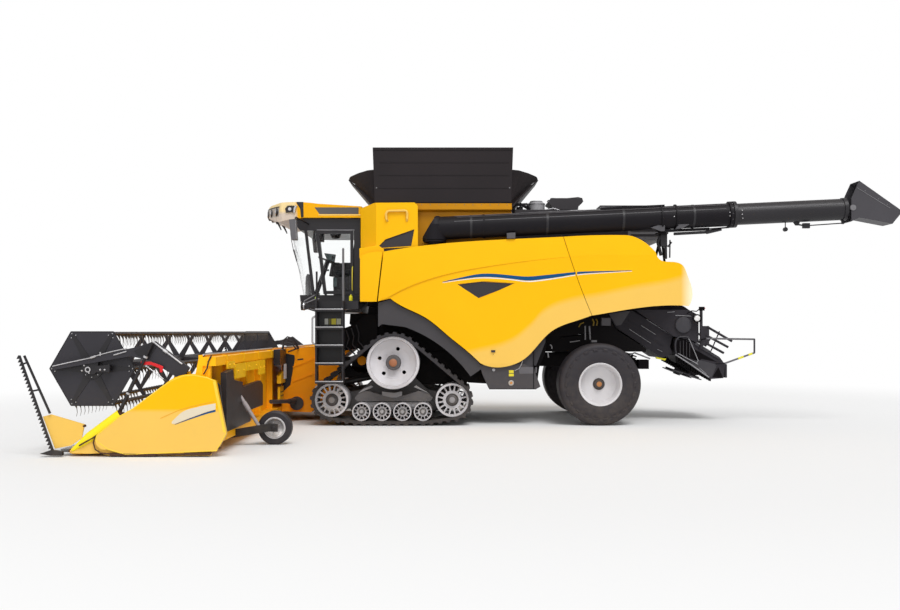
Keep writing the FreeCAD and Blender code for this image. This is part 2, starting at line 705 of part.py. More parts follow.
def grain_tank():
    """The bin's walls, open at the top: they flare to a rim, and the floor slopes to the middle."""
    top = size("tank_top_z")
    half = size("tank_half")
    low_half = half - 105
    w = size("tank_wall")
    outer = [(-low_half, 3200), (low_half, 3200), (low_half, 3815), (half, 3850), (half, top),
        (-half, top), (-half, 3850), (-low_half, 3815)]
    inner = [(-300, 3240), (300, 3240), (low_half - w, 3420), (low_half - w, 3830), (half - w, 3865),
        (half - w, top + 20),
             (w - half, top + 20), (w - half, 3865), (w - low_half, 3830), (w - low_half, 3420)]
    length = "tank_front_x - tank_rear_x"
    middle = "(tank_front_x + tank_rear_x) / 2"
    block = slab("bin_block", "front", [outer], length, middle)
    hollow = slab("bin_hollow", "front", [inner], length + " - 2 * tank_wall", middle)
    lowered = box("end_wall_drop", ("tank_rear_x - 10", "tank_front_x + 10"),
        ("-tank_half + tank_wall", "tank_half - tank_wall"), (3885, 4000))
    node("grain_tank", cut("grain_tank", block, fuse("bin_space", [hollow, lowered])))


def tank_flaps():
    """Four folding leaves that raise the tank; the two sides stand, the ends lean out."""
    height = size("side_flap_height")
    base = size("tank_top_z") + 25
    side = [(25, base), (2480, base), (2515, base + height), (-10, base + height)]
    leaf = slab("side_leaf", "side", [side], "flap_thickness", 0, "tank_half - 15", 0)
    hem = box("leaf_hem", (-5, 2508), ("tank_half", "tank_half + 14"),
        (base + height - 45, base + height - 5))
    ribs = [box("leaf_rib", (60, 2400), ("tank_half", "tank_half + 8"), (z, z + 14)) for z in (4230, 4460,
        4690)]
    pair("tank_flap", fuse("tank_leaf", [leaf, hem] + ribs))
    for name, hinge, out in (("front_tank_flap", 2495, 1), ("rear_tank_flap", 5, -1)):
        run = V(out * 535, 0, 605)
        length = run.Length
        shape = [(-1240, 0), (1240, 0), (1025, 245), (400, length), (-400, length), (-1025, 245)]
        flap = doc.addObject("PartDesign::Body", name)
        sketch = plane_sketch(flap, "front", [shape])
        pad = flap.newObject("PartDesign::Pad", "pad")
        pad.Profile = sketch
        bind(pad, "Length", "flap_thickness")
        pad.Midplane = True
        lean = math.degrees(math.atan2(out * 535, 605))
        flap.Placement = FreeCAD.Placement(V(hinge, 0, 3915), FreeCAD.Rotation(V(0, 1, 0), lean))
        node(name, flap)
    both_sides("tank_gussets", [gusset(2495, 1), gusset(5, -1)])


def three_cornered(name, corners, thickness):
    """A thin flat sheet between three places in space."""
    edge = doc.addObject("Part::Polygon", name + "_edge")
    edge.Nodes = [V(*corner) for corner in corners]
    edge.Close = True
    a, b, c = edge.Nodes
    sheet = doc.addObject("Part::Extrusion", name)
    sheet.Base = edge
    sheet.DirMode = "Custom"
    sheet.Dir = (b - a).cross(c - a).normalize()
    sheet.LengthFwd = thickness
    sheet.Solid = True
    return sheet


def gusset(hinge, out):
    """The limp corner piece that fills the gap between a side leaf and an end leaf."""
    foot = (hinge + out * 45, 1262, 4010)
    top = (hinge + out * 12, 1280, 4530)
    knee = (hinge + out * 355, 990, 4545)
    tip = (hinge + out * 495, 455, 4512)
    panel = three_cornered("gusset_panel", [foot, top, knee], 5)
    corner = three_cornered("gusset_corner", [foot, knee, tip], 5)
    return fuse("gusset", [panel, corner])


# ---------------------------------------------------------------- unloading auger

def auger_point(x):
    """A place on the tube's axis, which climbs towards the spout."""
    return (x, size("auger_y"), size("auger_z") + (size("elbow_x") - x) * size("auger_rise"))


def auger_run(name, start, end, radius):
    return link(name, auger_point(start), auger_point(end), radius)


def unloading_auger():
    y = "auger_y"
    fold = size("fold_x")
    foot = [(3215, 0), (3215, 125), (3248, 125), (3252, 205), (3280, 205), (3280, 0)]
    boot = turned("boot_drum", foot, "z", "elbow_x", y, 0)
    inlet = box("boot_inlet", ("elbow_x - 90", "elbow_x + 90"), (1228, "auger_y"), (3222, 3262))
    node("auger_boot", fuse("auger_boot", [boot, inlet]))
    drum = [(3288, 0), (3288, 215), (3560, 215), (3660, 170), (3715, 90), (3715, 0)]
    slope = [(1618, 3327), (1339, 3773), (1800, 3773), (1800, 3327)]
    elbow = cut("elbow_sloped", turned("elbow_drum", drum, "z", "elbow_x", y, 0),
                slab("elbow_slope", "side", [slope], 500, 0, y, 0))
    pieces = [elbow, auger_run("auger_tube_run", 1400, fold + 5, size("auger_radius"))]
    for start, wide, reach in ((fold + 65, 60, 235), (-2620, 28, 228), (-2880, 28, 228), (540, 40, 214)):
        pieces.append(auger_run("auger_collar", start, start - wide, reach))
    cover = [(-1560, 3825), (-2690, 3878), (-2690, 3915), (-1560, 3862)]
    pieces.append(slab("tube_cover", "side", [cover], 160, 0, y, 0))
    saddle = [(-2480, 3512), (-2620, 3480), (-2900, 3480), (-3050, 3525), (-2900, 3440), (-2620, 3425)]
    pieces.append(slab("tube_saddle", "side", [saddle], 130, 0, y, 0))
    pieces.append(link("fold_cylinder", (-2890, 1450, 3462), (-3500, 1450, 3488), 26))
    pieces.append(link("fold_rod", (-3500, 1450, 3488), (-3850, 1450, 3515), 13))
    node("auger_tube", fuse("auger_tube", pieces))
    actuator = box("spout_actuator", (-5290, -5170), (1415, 1485), (3500, 3590))
    tail = [
        auger_run("auger_tail", fold - 10, -5925, 190), auger_run("tail_collar", fold - 7, fold - 65, 235),
        auger_run("tail_end_collar", -5860, -5925, 205),
        slab("tail_bracket", "side", [[(-4960, 3660), (-5130, 3660), (-5100, 3550), (-5040, 3550)]], 24, 0,
            y, 0),
        link("actuator_arm", (-5070, 1450, 3570), (-5180, 1450, 3550), 14), actuator,
        link("actuator_rod", (-5280, 1450, 3550), (-5880, 1450, 3592), 10),
        link("lamp_stalk", (-4860, 1450, 3620), (-4860, 1450, 3500), 9),
        slab("lamp_head", "side", [ring(38)], 60, -4860, y, 3480),
        slab("rod_lug", "side", [[(-5850, 3700), (-5920, 3700), (-5905, 3575), (-5865, 3575)]], 24, 0, y, 0),
    ]
    node("auger_outer", fuse("auger_outer", tail))
    outer = [(-5960, 3600), (-5960, 4010), (-6100, 4320), (-6865, 3780), (-6685, 3560), (-6100, 3672)]
    inner = [(-5900, 3583), (-5900, 4030), (-6044, 4345), (-6915, 3730), (-6760, 3560), (-6098, 3686)]
    shell = slab("spout_outer", "side", [outer], 420, 0, y, 0)
    node("auger_spout", cut("auger_spout", shell, slab("spout_inner", "side", [inner], 396, 0, y, 0)))


# ---------------------------------------------------------------- rear residue system

def residue():
    chopper = [(-1800, 2040), (-2282, 2045), (-3020, 1569), (-2969, 1374), (-3020, 1251), (-2827, 1164),
        (-1963, 1728)]
    chute = slab("chopper_chute", "side", [chopper], 1300)
    hood = [(-2300, 2060), (-3300, 2060), (-3480, 1960), (-3480, 1425), (-3370, 1488), (-3064, 1556),
        (-3000, 1580)]
    rear_hood = slab("straw_hood", "side", [hood], 1500)
    pieces = [chute, rear_hood]
    for side in (-1, 1):
        pieces.append(slab("hood_cover", "side", [ring(150)], 40, -3190, side * 765, 1780))
        for low, high in (((-2850, 1390), (-2150, 1800)), ((-2640, 1600), (-2200, 1860))):
            rib = [low, (low[0] + 10, low[1] + 22), (high[0] + 10, high[1] + 22), high]
            pieces.append(slab("chute_rib", "side", [rib], 16, 0, side * 655, 0))
    node("chopper_housing", fuse("chopper_housing", pieces))
    deck = [(-3055, 1216), (-3690, 776), (-3940, 794), (-3975, 1045), (-3880, 1170), (-3360, 1469),
        (-3060, 1536)]
    inside = [(-3110, 1215), (-3690, 700), (-3990, 700), (-4000, 1022), (-3862, 1150), (-3350, 1440),
        (-3110, 1492)]
    housing = slab("spreader_housing", "side", [deck], 1500)
    hollow = slab("spreader_space", "side", [inside], 1440)
    shell = cut("spreader_shell", housing, hollow)
    axis = V(-0.35, 0, 0.9367)
    for side, name in ((1, "left_spreader"), (-1, "right_spreader")):
        middle = V(-3330, side * 400, 850)
        disc = link(name + "_disc", middle - axis * 6, middle + axis * 6, 300)
        hub = link(name + "_hub", middle - axis * 35, middle + axis * 35, 70)
        blades = [link("spreader_blade", middle + axis * 22 - reach, middle + axis * 22 + reach, 18)
                  for reach in (V(0, 245, 0), V(229, 0, 86))]
        node(name, fuse(name + "_body", [disc, hub] + blades))
    node("tailboard", box("tailboard", (-4020, -3985), (-700, 700), (800, 1050)))
    guard = bars("rear_guard", [
        (-3500, 740, 1500), (-3560, 1000, 1530), (-4440, 1000, 1516), (-4440, 1000, 1269),
        (-3900, 1000, 1076),
        (-3800, 740, 1060)], 16)
    side_parts = [guard]
    for side in (-1, 1):
        side_parts.append(box("lamp_post", (-3540, -3495), (side * 790 - 25, side * 790 + 25), (1330, 2110)))
        side_parts.append(slab("lamp_housing", "side", [ring(75)], 60, -3420, side * 860, 1900))
        side_parts.append(box("post_foot", (-3560, -3480), (side * 760 - 20, side * 760 + 20), (1330, 1400)))
        side_parts.append(box("lamp_bracket", (-3520, -3420), (side * 830 - 20, side * 830 + 20),
            (1880, 1920)))
        for low, high in (((-4080, 1477), (-3620, 1746)), ((-4010, 1368), (-3600, 1590)),
            ((-3930, 1259), (-3600, 1440))):
            side_parts.append(link("straw_guide", (low[0], side * 815, low[1]),
                (high[0], side * 815, high[1]), 22))
        side_parts.append(link("guide_tie", (-3690, side * 815, 1290), (-3850, side * 815, 1660), 11))
        side_parts.append(box("guide_plate", (-3660, -3500), (side * 815 - 5, side * 815 + 5), (1400, 1760)))
    node("spreader_deck", fuse("spreader_deck", [shell] + side_parts))


# ---------------------------------------------------------------- feeder house

def feeder():
    outline = [(4245, 180), (4245, 1330), (3620, 1380), (2740, 1900), [(2600, 1960), (2520, 1930)],
        (2420, 1760), (3160, 1150), (3230, 700), (3700, 160)]
    pieces = [slab("feeder_box", "side", [outline], "2 * feeder_half")]
    for side in (-1, 1):
        for z in (0, -270):
            rib = [(4035, 990 + z), (4035, 1015 + z), (3600, 1180 + z), (3600, 1155 + z)]
            pieces.append(slab("feeder_rib", "side", [rib], 28, 0, f"{side} * feeder_half", 0))
        pieces.append(slab("drive_boss", "side", [ring(125)], 90, 3960, f"{side} * feeder_half", 330))
    node("feeder_house", fuse("feeder_house", pieces))
    cylinder("lift", (2560, 830), (3560, 620), 880, 0.6, 55, 32)


# ---------------------------------------------------------------- header

def header():
    half = "header_half"
    top = size("sheet_top")
    trough = [
        (4425, top), (4425, 120), (4560, 60), (6150, 25), (6208, 48), (6150, 75), (5500, 95),
        [(5060, 135), (4720, 480)], (4560, 900), (4480, 1290), (4480, top),
    ]
    pieces = [slab("header_trough", "side", [trough], "2 * header_half")]
    for z, height in ((1200, 120), (150, 120)):
        pieces.append(box("cross_tube", (4250, 4430), ("-" + half, half), (z, z + height)))
    for y in (-6060, -4830, -3600, -2400, -1250, 1250, 2400, 3600, 4830, 6060):
        pieces.append(box("rear_post", (4330, 4430), (y - 45, y + 45), (260, 1210)))
    bracket = [(3640, 200), (3640, 305), (3760, 318), (4300, 225), (4440, 225), (4440, 130), (4300, 115),
        (3760, 205)]
    for side in (-1, 1):
        pieces.append(slab("gauge_arm", "side", [bracket], 50, 0, side * 4830, 0))
        pieces.append(link("gauge_strut", (4345, side * 4830, 972), (3905, side * 4830, 270), 24))
        pieces.append(rod("gauge_stub", "y", 30, min(side * 4740, side * 4855),
            max(side * 4740, side * 4855), 3695, 0, 247))
    node("header_frame", fuse("header_frame", pieces))
    header_ends()
    node("cutter_bar", slab("cutter_bar", "top", [finger_line()], 40, 0, 0, 70))
    node("reel", reel())
    arm = [(4716, 1005), (5130, 1270), (5400, 1330), (6435, 1145), (6440, 1222), (5330, 1450),
        (5070, 1530), (4610, 1175)]
    both_sides("reel_arms", [slab("reel_arm", "side", [arm], 60, 0, "reel_half + 70", 0)])
    reel_cylinders()
    node("intake_auger", intake_auger())
    profile = [(-70, 247), (70, 247), (85, 220), (85, 130), (40, 110), (40, 0), (-40, 0), (-40, 110),
        (-85, 130), (-85, 220)]
    pair("gauge_wheel", turned("gauge_wheel", profile, "y", 3695, 4690, 247))


def finger_line():
    """The cutter bar in plan: a straight back and one pointed guard for each 76 mm section."""
    reach = size("header_half") - 10
    count = 160
    pitch = 2 * reach / count
    outline = [(6215, reach), (6215, -reach)]
    for i in range(count):
        outline.append((6265, -reach + (i + 0.2) * pitch))
        outline.append((6335, -reach + (i + 0.5) * pitch))
        outline.append((6265, -reach + (i + 0.8) * pitch))
    return outline


def header_ends():
    """End shields, deflectors, dividers and skids outside the trough, and the upright side knives."""
    wall = [
        (4090, 307), (4212, 85), (5407, 35), (5649, 105), [(5811, 226), (5791, 287)], (5468, 551),
        (5325, 631), (4921, 936),
        [(4648, 1088), (4333, 1047)], (4232, 1006),
    ]
    pieces = [slab("end_shield", "side", [wall], 120, 0, "header_half + 70", 0)]
    plate = [(6529, 531), (6418, 561), (5972, 429), (6013, 246), (6155, 146), (6368, 105)]
    pieces.append(slab("deflector", "side", [plate], 16, 0, "header_half + 60", 0))
    tray = [(6155, 135), (5649, 12), (4300, 12), (4300, 60), (5649, 110)]
    pieces.append(slab("end_tray", "side", [tray], 60, 0, "header_half + 35", 0))
    y = size("header_half") + 62
    nose = [(6165, 45), (5690, 300), (5450, 330), (5450, 60), (5900, 40)]
    pieces.append(slab("divider_nose", "side", [nose], 60, 0, "header_half + 45", 0))
    pieces.append(link("divider", (5500, y, 560), (5900, y, 262), 68))
    pieces.append(spike("divider_tip", (5900, y, 262), (6160, y, 68), 68, 16))
    both_sides("header_ends", pieces)
    start = (6360, 60)
    end = (6812, 1345)
    blade = [(start[0] + 28, start[1]), start, end, (end[0] + 28, end[1])]
    count = 27
    run = (end[0] - start[0], end[1] - start[1])
    for i in range(count - 1, -1, -1):
        share = (i + 0.5) / count
        blade.append((start[0] + 60 + run[0] * share, start[1] - 24 + run[1] * share))
        blade.append((start[0] + 28 + run[0] * i / count, start[1] + run[1] * i / count))
    knife = [slab("side_knife", "side", [blade[:-1]], 14, 0, "header_half + 100", 0)]
    knife.append(link("knife_stay", (6420, y + 38, 575), (6762, y + 38, 1340), 17))
    knife.append(link("knife_tie", (6560, y + 38, 890), (6668, y + 38, 870), 12))
    knife.append(link("knife_tie", (6720, y + 38, 1250), (6795, y + 38, 1225), 12))
    shoe = [(6545, 45), (6400, 20), (6250, 20), (6250, 75), (6400, 95)]
    knife.append(slab("skid_shoe", "side", [shoe], 70, 0, "header_half + 100", 0))
    both_sides("side_knives", knife)


def flight(name, start, turns, hand):
    """One run of the intake auger's flighting: a helicoid strip given a thickness along the shaft."""
    pitch = 560
    inner = Part.makeHelix(pitch, pitch * turns, size("drum_radius") - 8, 0, hand)
    outer = Part.makeHelix(pitch, pitch * turns, size("flight_reach"), 0, hand)
    strip = Part.makeRuledSurface(inner, outer)
    strip.rotate(V(0, 0, 0), V(1, 0, 0), -90)
    solid = strip.extrude(V(0, 10, 0))
    blade = doc.addObject("Part::Feature", name)
    blade.Shape = solid
    return place(blade, "intake_x", start, "intake_z")


def intake_auger():
    """The drum and its two flightings, which turn towards the middle."""
    drum = rod("auger_drum", "y", "drum_radius", "-header_half + 20", "header_half - 20", "intake_x", 0,
        "intake_z")
    left = flight("left_flight", 900, 9, False)
    right = flight("right_flight", -900 - 560 * 9, 9, True)
    return fuse("intake_auger", [drum, left, right])


def cylinder(name, low, high, y, share, thick, thin):
    """A hydraulic cylinder at rest: its barrel from the low eye, then its rod to the high eye."""
    a = V(low[0], y, low[1])
    b = V(high[0], y, high[1])
    run = b - a
    length = run.Length
    run.normalize()
    mouth = a + run * (length * share)
    barrel = link(name + "_barrel", tuple(a), tuple(mouth), thick)
    barrel_eye = rod(name + "_barrel_eye", "y", thick * 1.1, y - thick * 0.8, y + thick * 0.8, a.x, 0, a.z)
    both_sides(name + "_barrels", [fuse(name + "_barrel_solid", [barrel, barrel_eye])])
    bar = link(name + "_rod", tuple(mouth + run * 8), tuple(b), thin)
    eye = rod(name + "_rod_eye", "y", thin * 1.5, y - thin * 1.2, y + thin * 1.2, b.x, 0, b.z)
    both_sides(name + "_rods", [fuse(name + "_rod_solid", [bar, eye])])


def reel_cylinders():
    cylinder("reel_lift", (4660, 800), (5180, 1200), 6112, 0.55, 15, 9)


def reel():
    """Six bats on spiders round the reel tube, with a plate at each end."""
    r = size("reel_radius")
    pieces = [rod("reel_tube", "y", 75, "-reel_half", "reel_half", "reel_x", 0, "reel_z")]
    corners = [on_circle(0, 0, r, math.radians(60 * i)) for i in range(6)]
    for k in range(2):
        pieces.append(slab("reel_plate", "side", [corners], 12, "reel_x",
            f"(reel_half - 10) * {1 - 2 * k}", "reel_z"))
    star = []
    for i in range(6):
        angle = math.radians(60 * i)
        star += [on_circle(0, 0, r * 0.95, angle - 0.04), on_circle(0, 0, r * 0.95, angle + 0.04)]
        star.append(on_circle(0, 0, 95, angle + math.radians(30)))
    for k in range(1, 8):
        pieces.append(slab("reel_spider", "side", [star], 14, "reel_x", f"reel_half * {2 * k / 8 - 1}",
            "reel_z"))
    for x, z in corners:
        pieces.append(rod("reel_bat", "y", 25, "-reel_half", "reel_half", f"reel_x + {x * 0.94}", 0,
            f"reel_z + {z * 0.94}"))
    return fuse("reel", pieces)


# ---------------------------------------------------------------- build and write

def check_document():
    """Stops on any failed object or on a sub-part that is empty or not valid."""
    doc.recompute()
    for thing in doc.Objects:
        faults = {"Invalid", "Error"} & set(thing.State)
        if faults:
            raise RuntimeError(f"{thing.Label}: {faults}")
    for label, thing in nodes.items():
        if thing.Shape.isNull() or not thing.Shape.isValid() or not thing.Shape.Solids:
            raise RuntimeError(f"{label}: empty or invalid shape")


def write_parts():
    for label, thing in nodes.items():
        thing.Shape.exportStep(f"parts/{label}.step")
    print(len(nodes), "sub-parts")


track_units()
chassis()
body_core()
side_panels()
fenders()
engine_bay()
cab()
ladder()
grain_tank()
tank_flaps()
unloading_auger()
residue()
feeder()
header()
check_document()
write_parts()
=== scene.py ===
"""Combine harvester on front track units: finishes and fitted detail round its fixed construction frame."""
import bpy
import bmesh
import math
import numpy as np
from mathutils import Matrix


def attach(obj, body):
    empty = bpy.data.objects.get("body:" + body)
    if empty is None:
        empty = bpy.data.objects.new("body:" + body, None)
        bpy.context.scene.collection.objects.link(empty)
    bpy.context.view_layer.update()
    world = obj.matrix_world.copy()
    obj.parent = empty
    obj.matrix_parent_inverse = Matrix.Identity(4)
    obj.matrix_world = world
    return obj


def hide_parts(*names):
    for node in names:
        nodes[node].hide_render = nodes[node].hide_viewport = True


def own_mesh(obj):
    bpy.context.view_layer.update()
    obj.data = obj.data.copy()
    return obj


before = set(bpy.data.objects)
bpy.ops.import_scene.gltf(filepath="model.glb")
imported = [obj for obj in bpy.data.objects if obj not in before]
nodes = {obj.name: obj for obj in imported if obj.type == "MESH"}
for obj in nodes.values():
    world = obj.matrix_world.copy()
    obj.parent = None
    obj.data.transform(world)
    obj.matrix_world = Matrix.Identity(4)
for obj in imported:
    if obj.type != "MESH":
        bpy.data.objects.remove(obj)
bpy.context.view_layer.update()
scene = bpy.context.scene

# ------------------------------------------------------------------ studio
# A pale floor that clears to white far out, a white surround, a broad high lamp and a weaker low one.
# The viewpoint stands square to the machine's left side, twenty metres off, at fender height.
EYE = (1.125, 19.96, 1.667)
LENS = 41.48
RISE = 0.02889
FLOOR_HALF = 60.0
FLOOR_GREY = 0.78
CLEAR_FROM, CLEAR_TO = 9.5, 17.0
SURROUND_POWER = 0.62

lens = bpy.data.cameras.new("viewpoint")
lens.sensor_width = 36
lens.lens = LENS
lens.shift_y = RISE
lens.clip_end = 300
camera = bpy.data.objects.new("viewpoint", lens)
camera.location = EYE
camera.rotation_euler = (math.radians(90), 0, math.radians(180))
scene.collection.objects.link(camera)
scene.camera = camera
scene.view_settings.view_transform = "Standard"


def net(points, wrap=True, ends=True):
    """Like surfaces worked out together: points is (..., rows, columns, 3).

    Each cell between neighbouring rows and columns is a quad. With wrap the last column joins the
    first, and with ends the first and last rows are closed by one face each.
    """
    points = np.asarray(points, float)
    rows, columns = points.shape[-3:-1]
    flat = points.reshape(-1, rows * columns, 3)
    index = np.arange(rows * columns).reshape(rows, columns)
    across = np.concatenate([index, index[:, :1]], axis=1) if wrap else index
    cell = np.stack([across[:-1, :-1], across[:-1, 1:], across[1:, 1:], across[1:, :-1]], -1).reshape(-1, 4)
    step = (np.arange(len(flat)) * rows * columns)[:, None, None]
    faces = (cell[None] + step).reshape(-1, 4).tolist()
    if wrap and ends:
        faces += (index[0][::-1][None] + step[:, :, 0]).tolist()
        faces += (index[-1][None] + step[:, :, 0]).tolist()
    return (flat.reshape(-1, 3), faces)


def solid(name, nets, turn=35):
    """One object of all the given nets, faces outwards, its creases sharp beyond `turn` degrees."""
    corners, faces, start = [], [], 0
    for points, cells in nets:
        corners.append(points)
        faces += [[start + i for i in cell] for cell in cells]
        start += len(points)
    mesh = bpy.data.meshes.new(name)
    mesh.from_pydata(np.concatenate(corners).tolist(), [], faces)
    work = bmesh.new()
    work.from_mesh(mesh)
    bmesh.ops.remove_doubles(work, verts=work.verts, dist=1e-06)
    bmesh.ops.recalc_face_normals(work, faces=work.faces)
    work.to_mesh(mesh)
    work.free()
    mesh.shade_smooth()
    mesh.set_sharp_from_angle(angle=math.radians(turn))
    piece = bpy.data.objects.new(name, mesh)
    scene.collection.objects.link(piece)
    return piece


def join(tree, value, socket):
    """Feeds a socket from an output, or sets its value."""
    if isinstance(value, bpy.types.NodeSocket):
        tree.links.new(value, socket)
    else:
        socket.default_value = value


def node(tree, kind, inputs, **traits):
    """A shader node with its traits; inputs gives a value or an output for each socket's name or number."""
    made = tree.nodes.new("ShaderNode" + kind)
    for trait, value in traits.items():
        setattr(made, trait, value)
    for label, value in inputs.items():
        join(tree, value, made.inputs[label])
    return made


def skin_of(name, looks):
    """A material whose Principled node takes what looks(tree) returns, as values or as outputs."""
    made = bpy.data.materials.new(name)
    made.use_nodes = True
    skin = made.node_tree.nodes["Principled BSDF"]
    for label, value in looks(made.node_tree).items():
        join(made.node_tree, value, skin.inputs[label])
    return made


ends = np.array([-FLOOR_HALF, FLOOR_HALF])
floor = solid("floor", [net(np.stack(np.broadcast_arrays(ends[:, None], ends[None, :], 0.0), -1),
    wrap=False)])
floor_paint = skin_of("pale_floor", lambda tree: {"Base Color": (FLOOR_GREY, FLOOR_GREY, FLOOR_GREY, 1),
    "Roughness": 0.95, "Specular IOR Level": 0.1})
tree = floor_paint.node_tree
away = node(tree, "VectorMath", {0: node(tree, "TexCoord", {}).outputs["Object"]}, operation="LENGTH")
spread = node(tree, "MapRange", {"Value": away.outputs["Value"], "From Min": CLEAR_FROM,
    "From Max": CLEAR_TO}, interpolation_type="SMOOTHSTEP")
path = node(tree, "LightPath", {})
seen = node(tree, "Math", {0: spread.outputs[0], 1: path.outputs["Is Camera Ray"]}, operation="MULTIPLY")
blend = node(tree, "MixShader", {0: seen.outputs[0], 1: tree.nodes["Principled BSDF"].outputs[0],
    2: node(tree, "Emission", {}).outputs[0]})
join(tree, blend.outputs[0], tree.nodes["Material Output"].inputs[0])
floor.data.materials.append(floor_paint)

surround = bpy.data.worlds.new("surround")
scene.world = surround
surround.use_nodes = True
tree = surround.node_tree
tree.nodes.clear()
soft = node(tree, "Background", {"Strength": SURROUND_POWER, "Color": (1, 1, 1, 1)})
white = node(tree, "Background", {"Color": (1, 1, 1, 1)})
path = node(tree, "LightPath", {})
through = node(tree, "Math", {0: path.outputs["Is Camera Ray"], 1: path.outputs["Is Transmission Ray"]},
    operation="MAXIMUM")
blend = node(tree, "MixShader", {0: through.outputs[0], 1: soft.outputs[0], 2: white.outputs[0]})
node(tree, "OutputWorld", {0: blend.outputs[0]})

for name, heading, power, spread in (("high_lamp", (34, 0, 200), 1.9, 30),
        ("low_lamp", (72, 0, 165), 0.55, 60)):
    lamp_data = bpy.data.lights.new(name, "SUN")
    lamp_data.energy = power
    lamp_data.angle = math.radians(spread)
    lamp = bpy.data.objects.new(name, lamp_data)
    lamp.rotation_euler = [math.radians(a) for a in heading]
    scene.collection.objects.link(lamp)

# ------------------------------------------------------------------ chassis
# Welded steel frame, drive axle and steered axle, painted satin black. Field dust lies on whatever
# is low down or faces up, and thins out towards the height given as clean.
DUST = (0.3, 0.235, 0.16, 1)


def group_of(name, inputs, outputs):
    """An empty shader node group; each socket is (name, kind, default)."""
    group = bpy.data.node_groups.new(name, "ShaderNodeTree")
    for label, kind, value in inputs:
        socket = group.interface.new_socket(name=label, in_out="INPUT", socket_type="NodeSocket" + kind)
        socket.default_value = value
    for label, kind in outputs:
        group.interface.new_socket(name=label, in_out="OUTPUT", socket_type="NodeSocket" + kind)
    return (group, group.nodes.new("NodeGroupInput"), group.nodes.new("NodeGroupOutput"))


def sum_of(tree, kind, a, b):
    """A Math node; a and b are sockets or numbers."""
    return node(tree, "Math", {0: a, 1: b}, operation=kind).outputs[0]


def noise_of(tree, scale, detail):
    """Noise on Object coordinates, from 0 to 1."""
    spot = node(tree, "TexCoord", {}).outputs["Object"]
    return node(tree, "TexNoise", {"Vector": spot, "Scale": scale, "Detail": detail}).outputs["Fac"]


def along(tree, axis):
    """The Object coordinate of one axis."""
    spot = node(tree, "TexCoord", {}).outputs["Object"]
    return node(tree, "SeparateXYZ", {0: spot}).outputs[axis]


def ranged(tree, value, low, high, to_low=0.0, to_high=1.0):
    """A clamped Map Range; low, high and the targets are sockets or numbers."""
    spans = {"Value": value, "From Min": low, "From Max": high, "To Min": to_low, "To Max": to_high}
    return node(tree, "MapRange", spans).outputs[0]


# Weathering: the colour mottled by slow noise, then dust over it by height, facing and finer noise.
weather, given, made = group_of("weathering", [("Colour", "Color", (0.5, 0.5, 0.5, 1)),
    ("Dust Colour", "Color", DUST), ("Dust", "Float", 0.3), ("Mottle", "Float", 0.06),
    ("Clean Height", "Float", 1.8)], [("Colour", "Color"), ("Dust Mask", "Float")])
less = sum_of(weather, "SUBTRACT", 1.0, given.outputs["Mottle"])
more = sum_of(weather, "ADD", 1.0, given.outputs["Mottle"])
shade = ranged(weather, noise_of(weather, 1.3, 4.0), 0.3, 0.7, less, more)
tint = node(weather, "VectorMath", {0: given.outputs["Colour"], "Scale": shade}, operation="SCALE")
facing = node(weather, "SeparateXYZ", {0: node(weather, "NewGeometry", {}).outputs["Normal"]})
upward = ranged(weather, facing.outputs["Z"], 0.35, 1.0, 0.0, 0.55)
low_down = ranged(weather, along(weather, "Z"), 0.0, given.outputs["Clean Height"], 1.0, 0.0)
patchy = ranged(weather, noise_of(weather, 11.0, 6.0), 0.35, 0.75, 0.25, 1.0)
amount = sum_of(weather, "MULTIPLY", sum_of(weather, "ADD", upward, low_down), patchy)
amount = sum_of(weather, "MINIMUM", sum_of(weather, "MULTIPLY", amount, given.outputs["Dust"]), 0.9)
cover = node(weather, "Mix", {}, data_type="RGBA")
for value, socket in ((amount, cover.inputs["Factor"]), (tint.outputs[0], cover.inputs["A"]),
        (given.outputs["Dust Colour"], cover.inputs["B"]), (amount, made.inputs["Dust Mask"]),
        (cover.outputs["Result"], made.inputs["Colour"])):
    join(weather, value, socket)

# Grain: fine noise under a Bump node, for orange peel in paint and texture in moulded plastic.
grain, given, made = group_of("grain", [("Scale", "Float", 300.0), ("Depth", "Float", 0.0004),
    ("Share", "Float", 0.4)], [("Normal", "Vector")])
press = node(grain, "Bump", {"Height": noise_of(grain, given.outputs["Scale"], 2.0),
    "Distance": given.outputs["Depth"], "Strength": given.outputs["Share"]})
join(grain, press.outputs[0], made.inputs["Normal"])


def finish(name, colour, rough, dust=0.1, mottle=0.1, clean=1.0, metal=0.0, gloss=0.3,
        peel=(300.0, 0.0004, 0.4)):
    """A material of the weathering and grain groups; dust roughens it towards matt."""
    def looks(tree):
        """What the Principled node takes."""
        worn = node(tree, "Group", {"Colour": (*colour, 1), "Dust": dust, "Mottle": mottle,
            "Clean Height": clean}, name="worn", node_tree=weather)
        fine = node(tree, "Group", dict(zip(("Scale", "Depth", "Share"), peel)), node_tree=grain)
        return {"Base Color": worn.outputs["Colour"], "Normal": fine.outputs["Normal"], "Metallic": metal,
            "Roughness": ranged(tree, worn.outputs["Dust Mask"], 0.0, 0.6, rough, 0.92),
            "Specular IOR Level": gloss}

    return skin_of(name, looks)


def overlay(made, mask, colour):
    """Lays another colour over a finish where a mask in its own tree says."""
    tree = made.node_tree
    under = tree.nodes["worn"].inputs["Colour"]
    below = under.links[0].from_socket if under.is_linked else tuple(under.default_value)
    layer = node(tree, "Mix", {}, data_type="RGBA")
    for label, value in (("Factor", mask), ("A", below), ("B", (*colour, 1))):
        join(tree, value, layer.inputs[label])
    join(tree, layer.outputs["Result"], under)


def coat_node(material, *names):
    """Gives CAD nodes their finish."""
    for name in names:
        mesh = nodes[name].data
        mesh.materials.clear()
        mesh.materials.append(material)


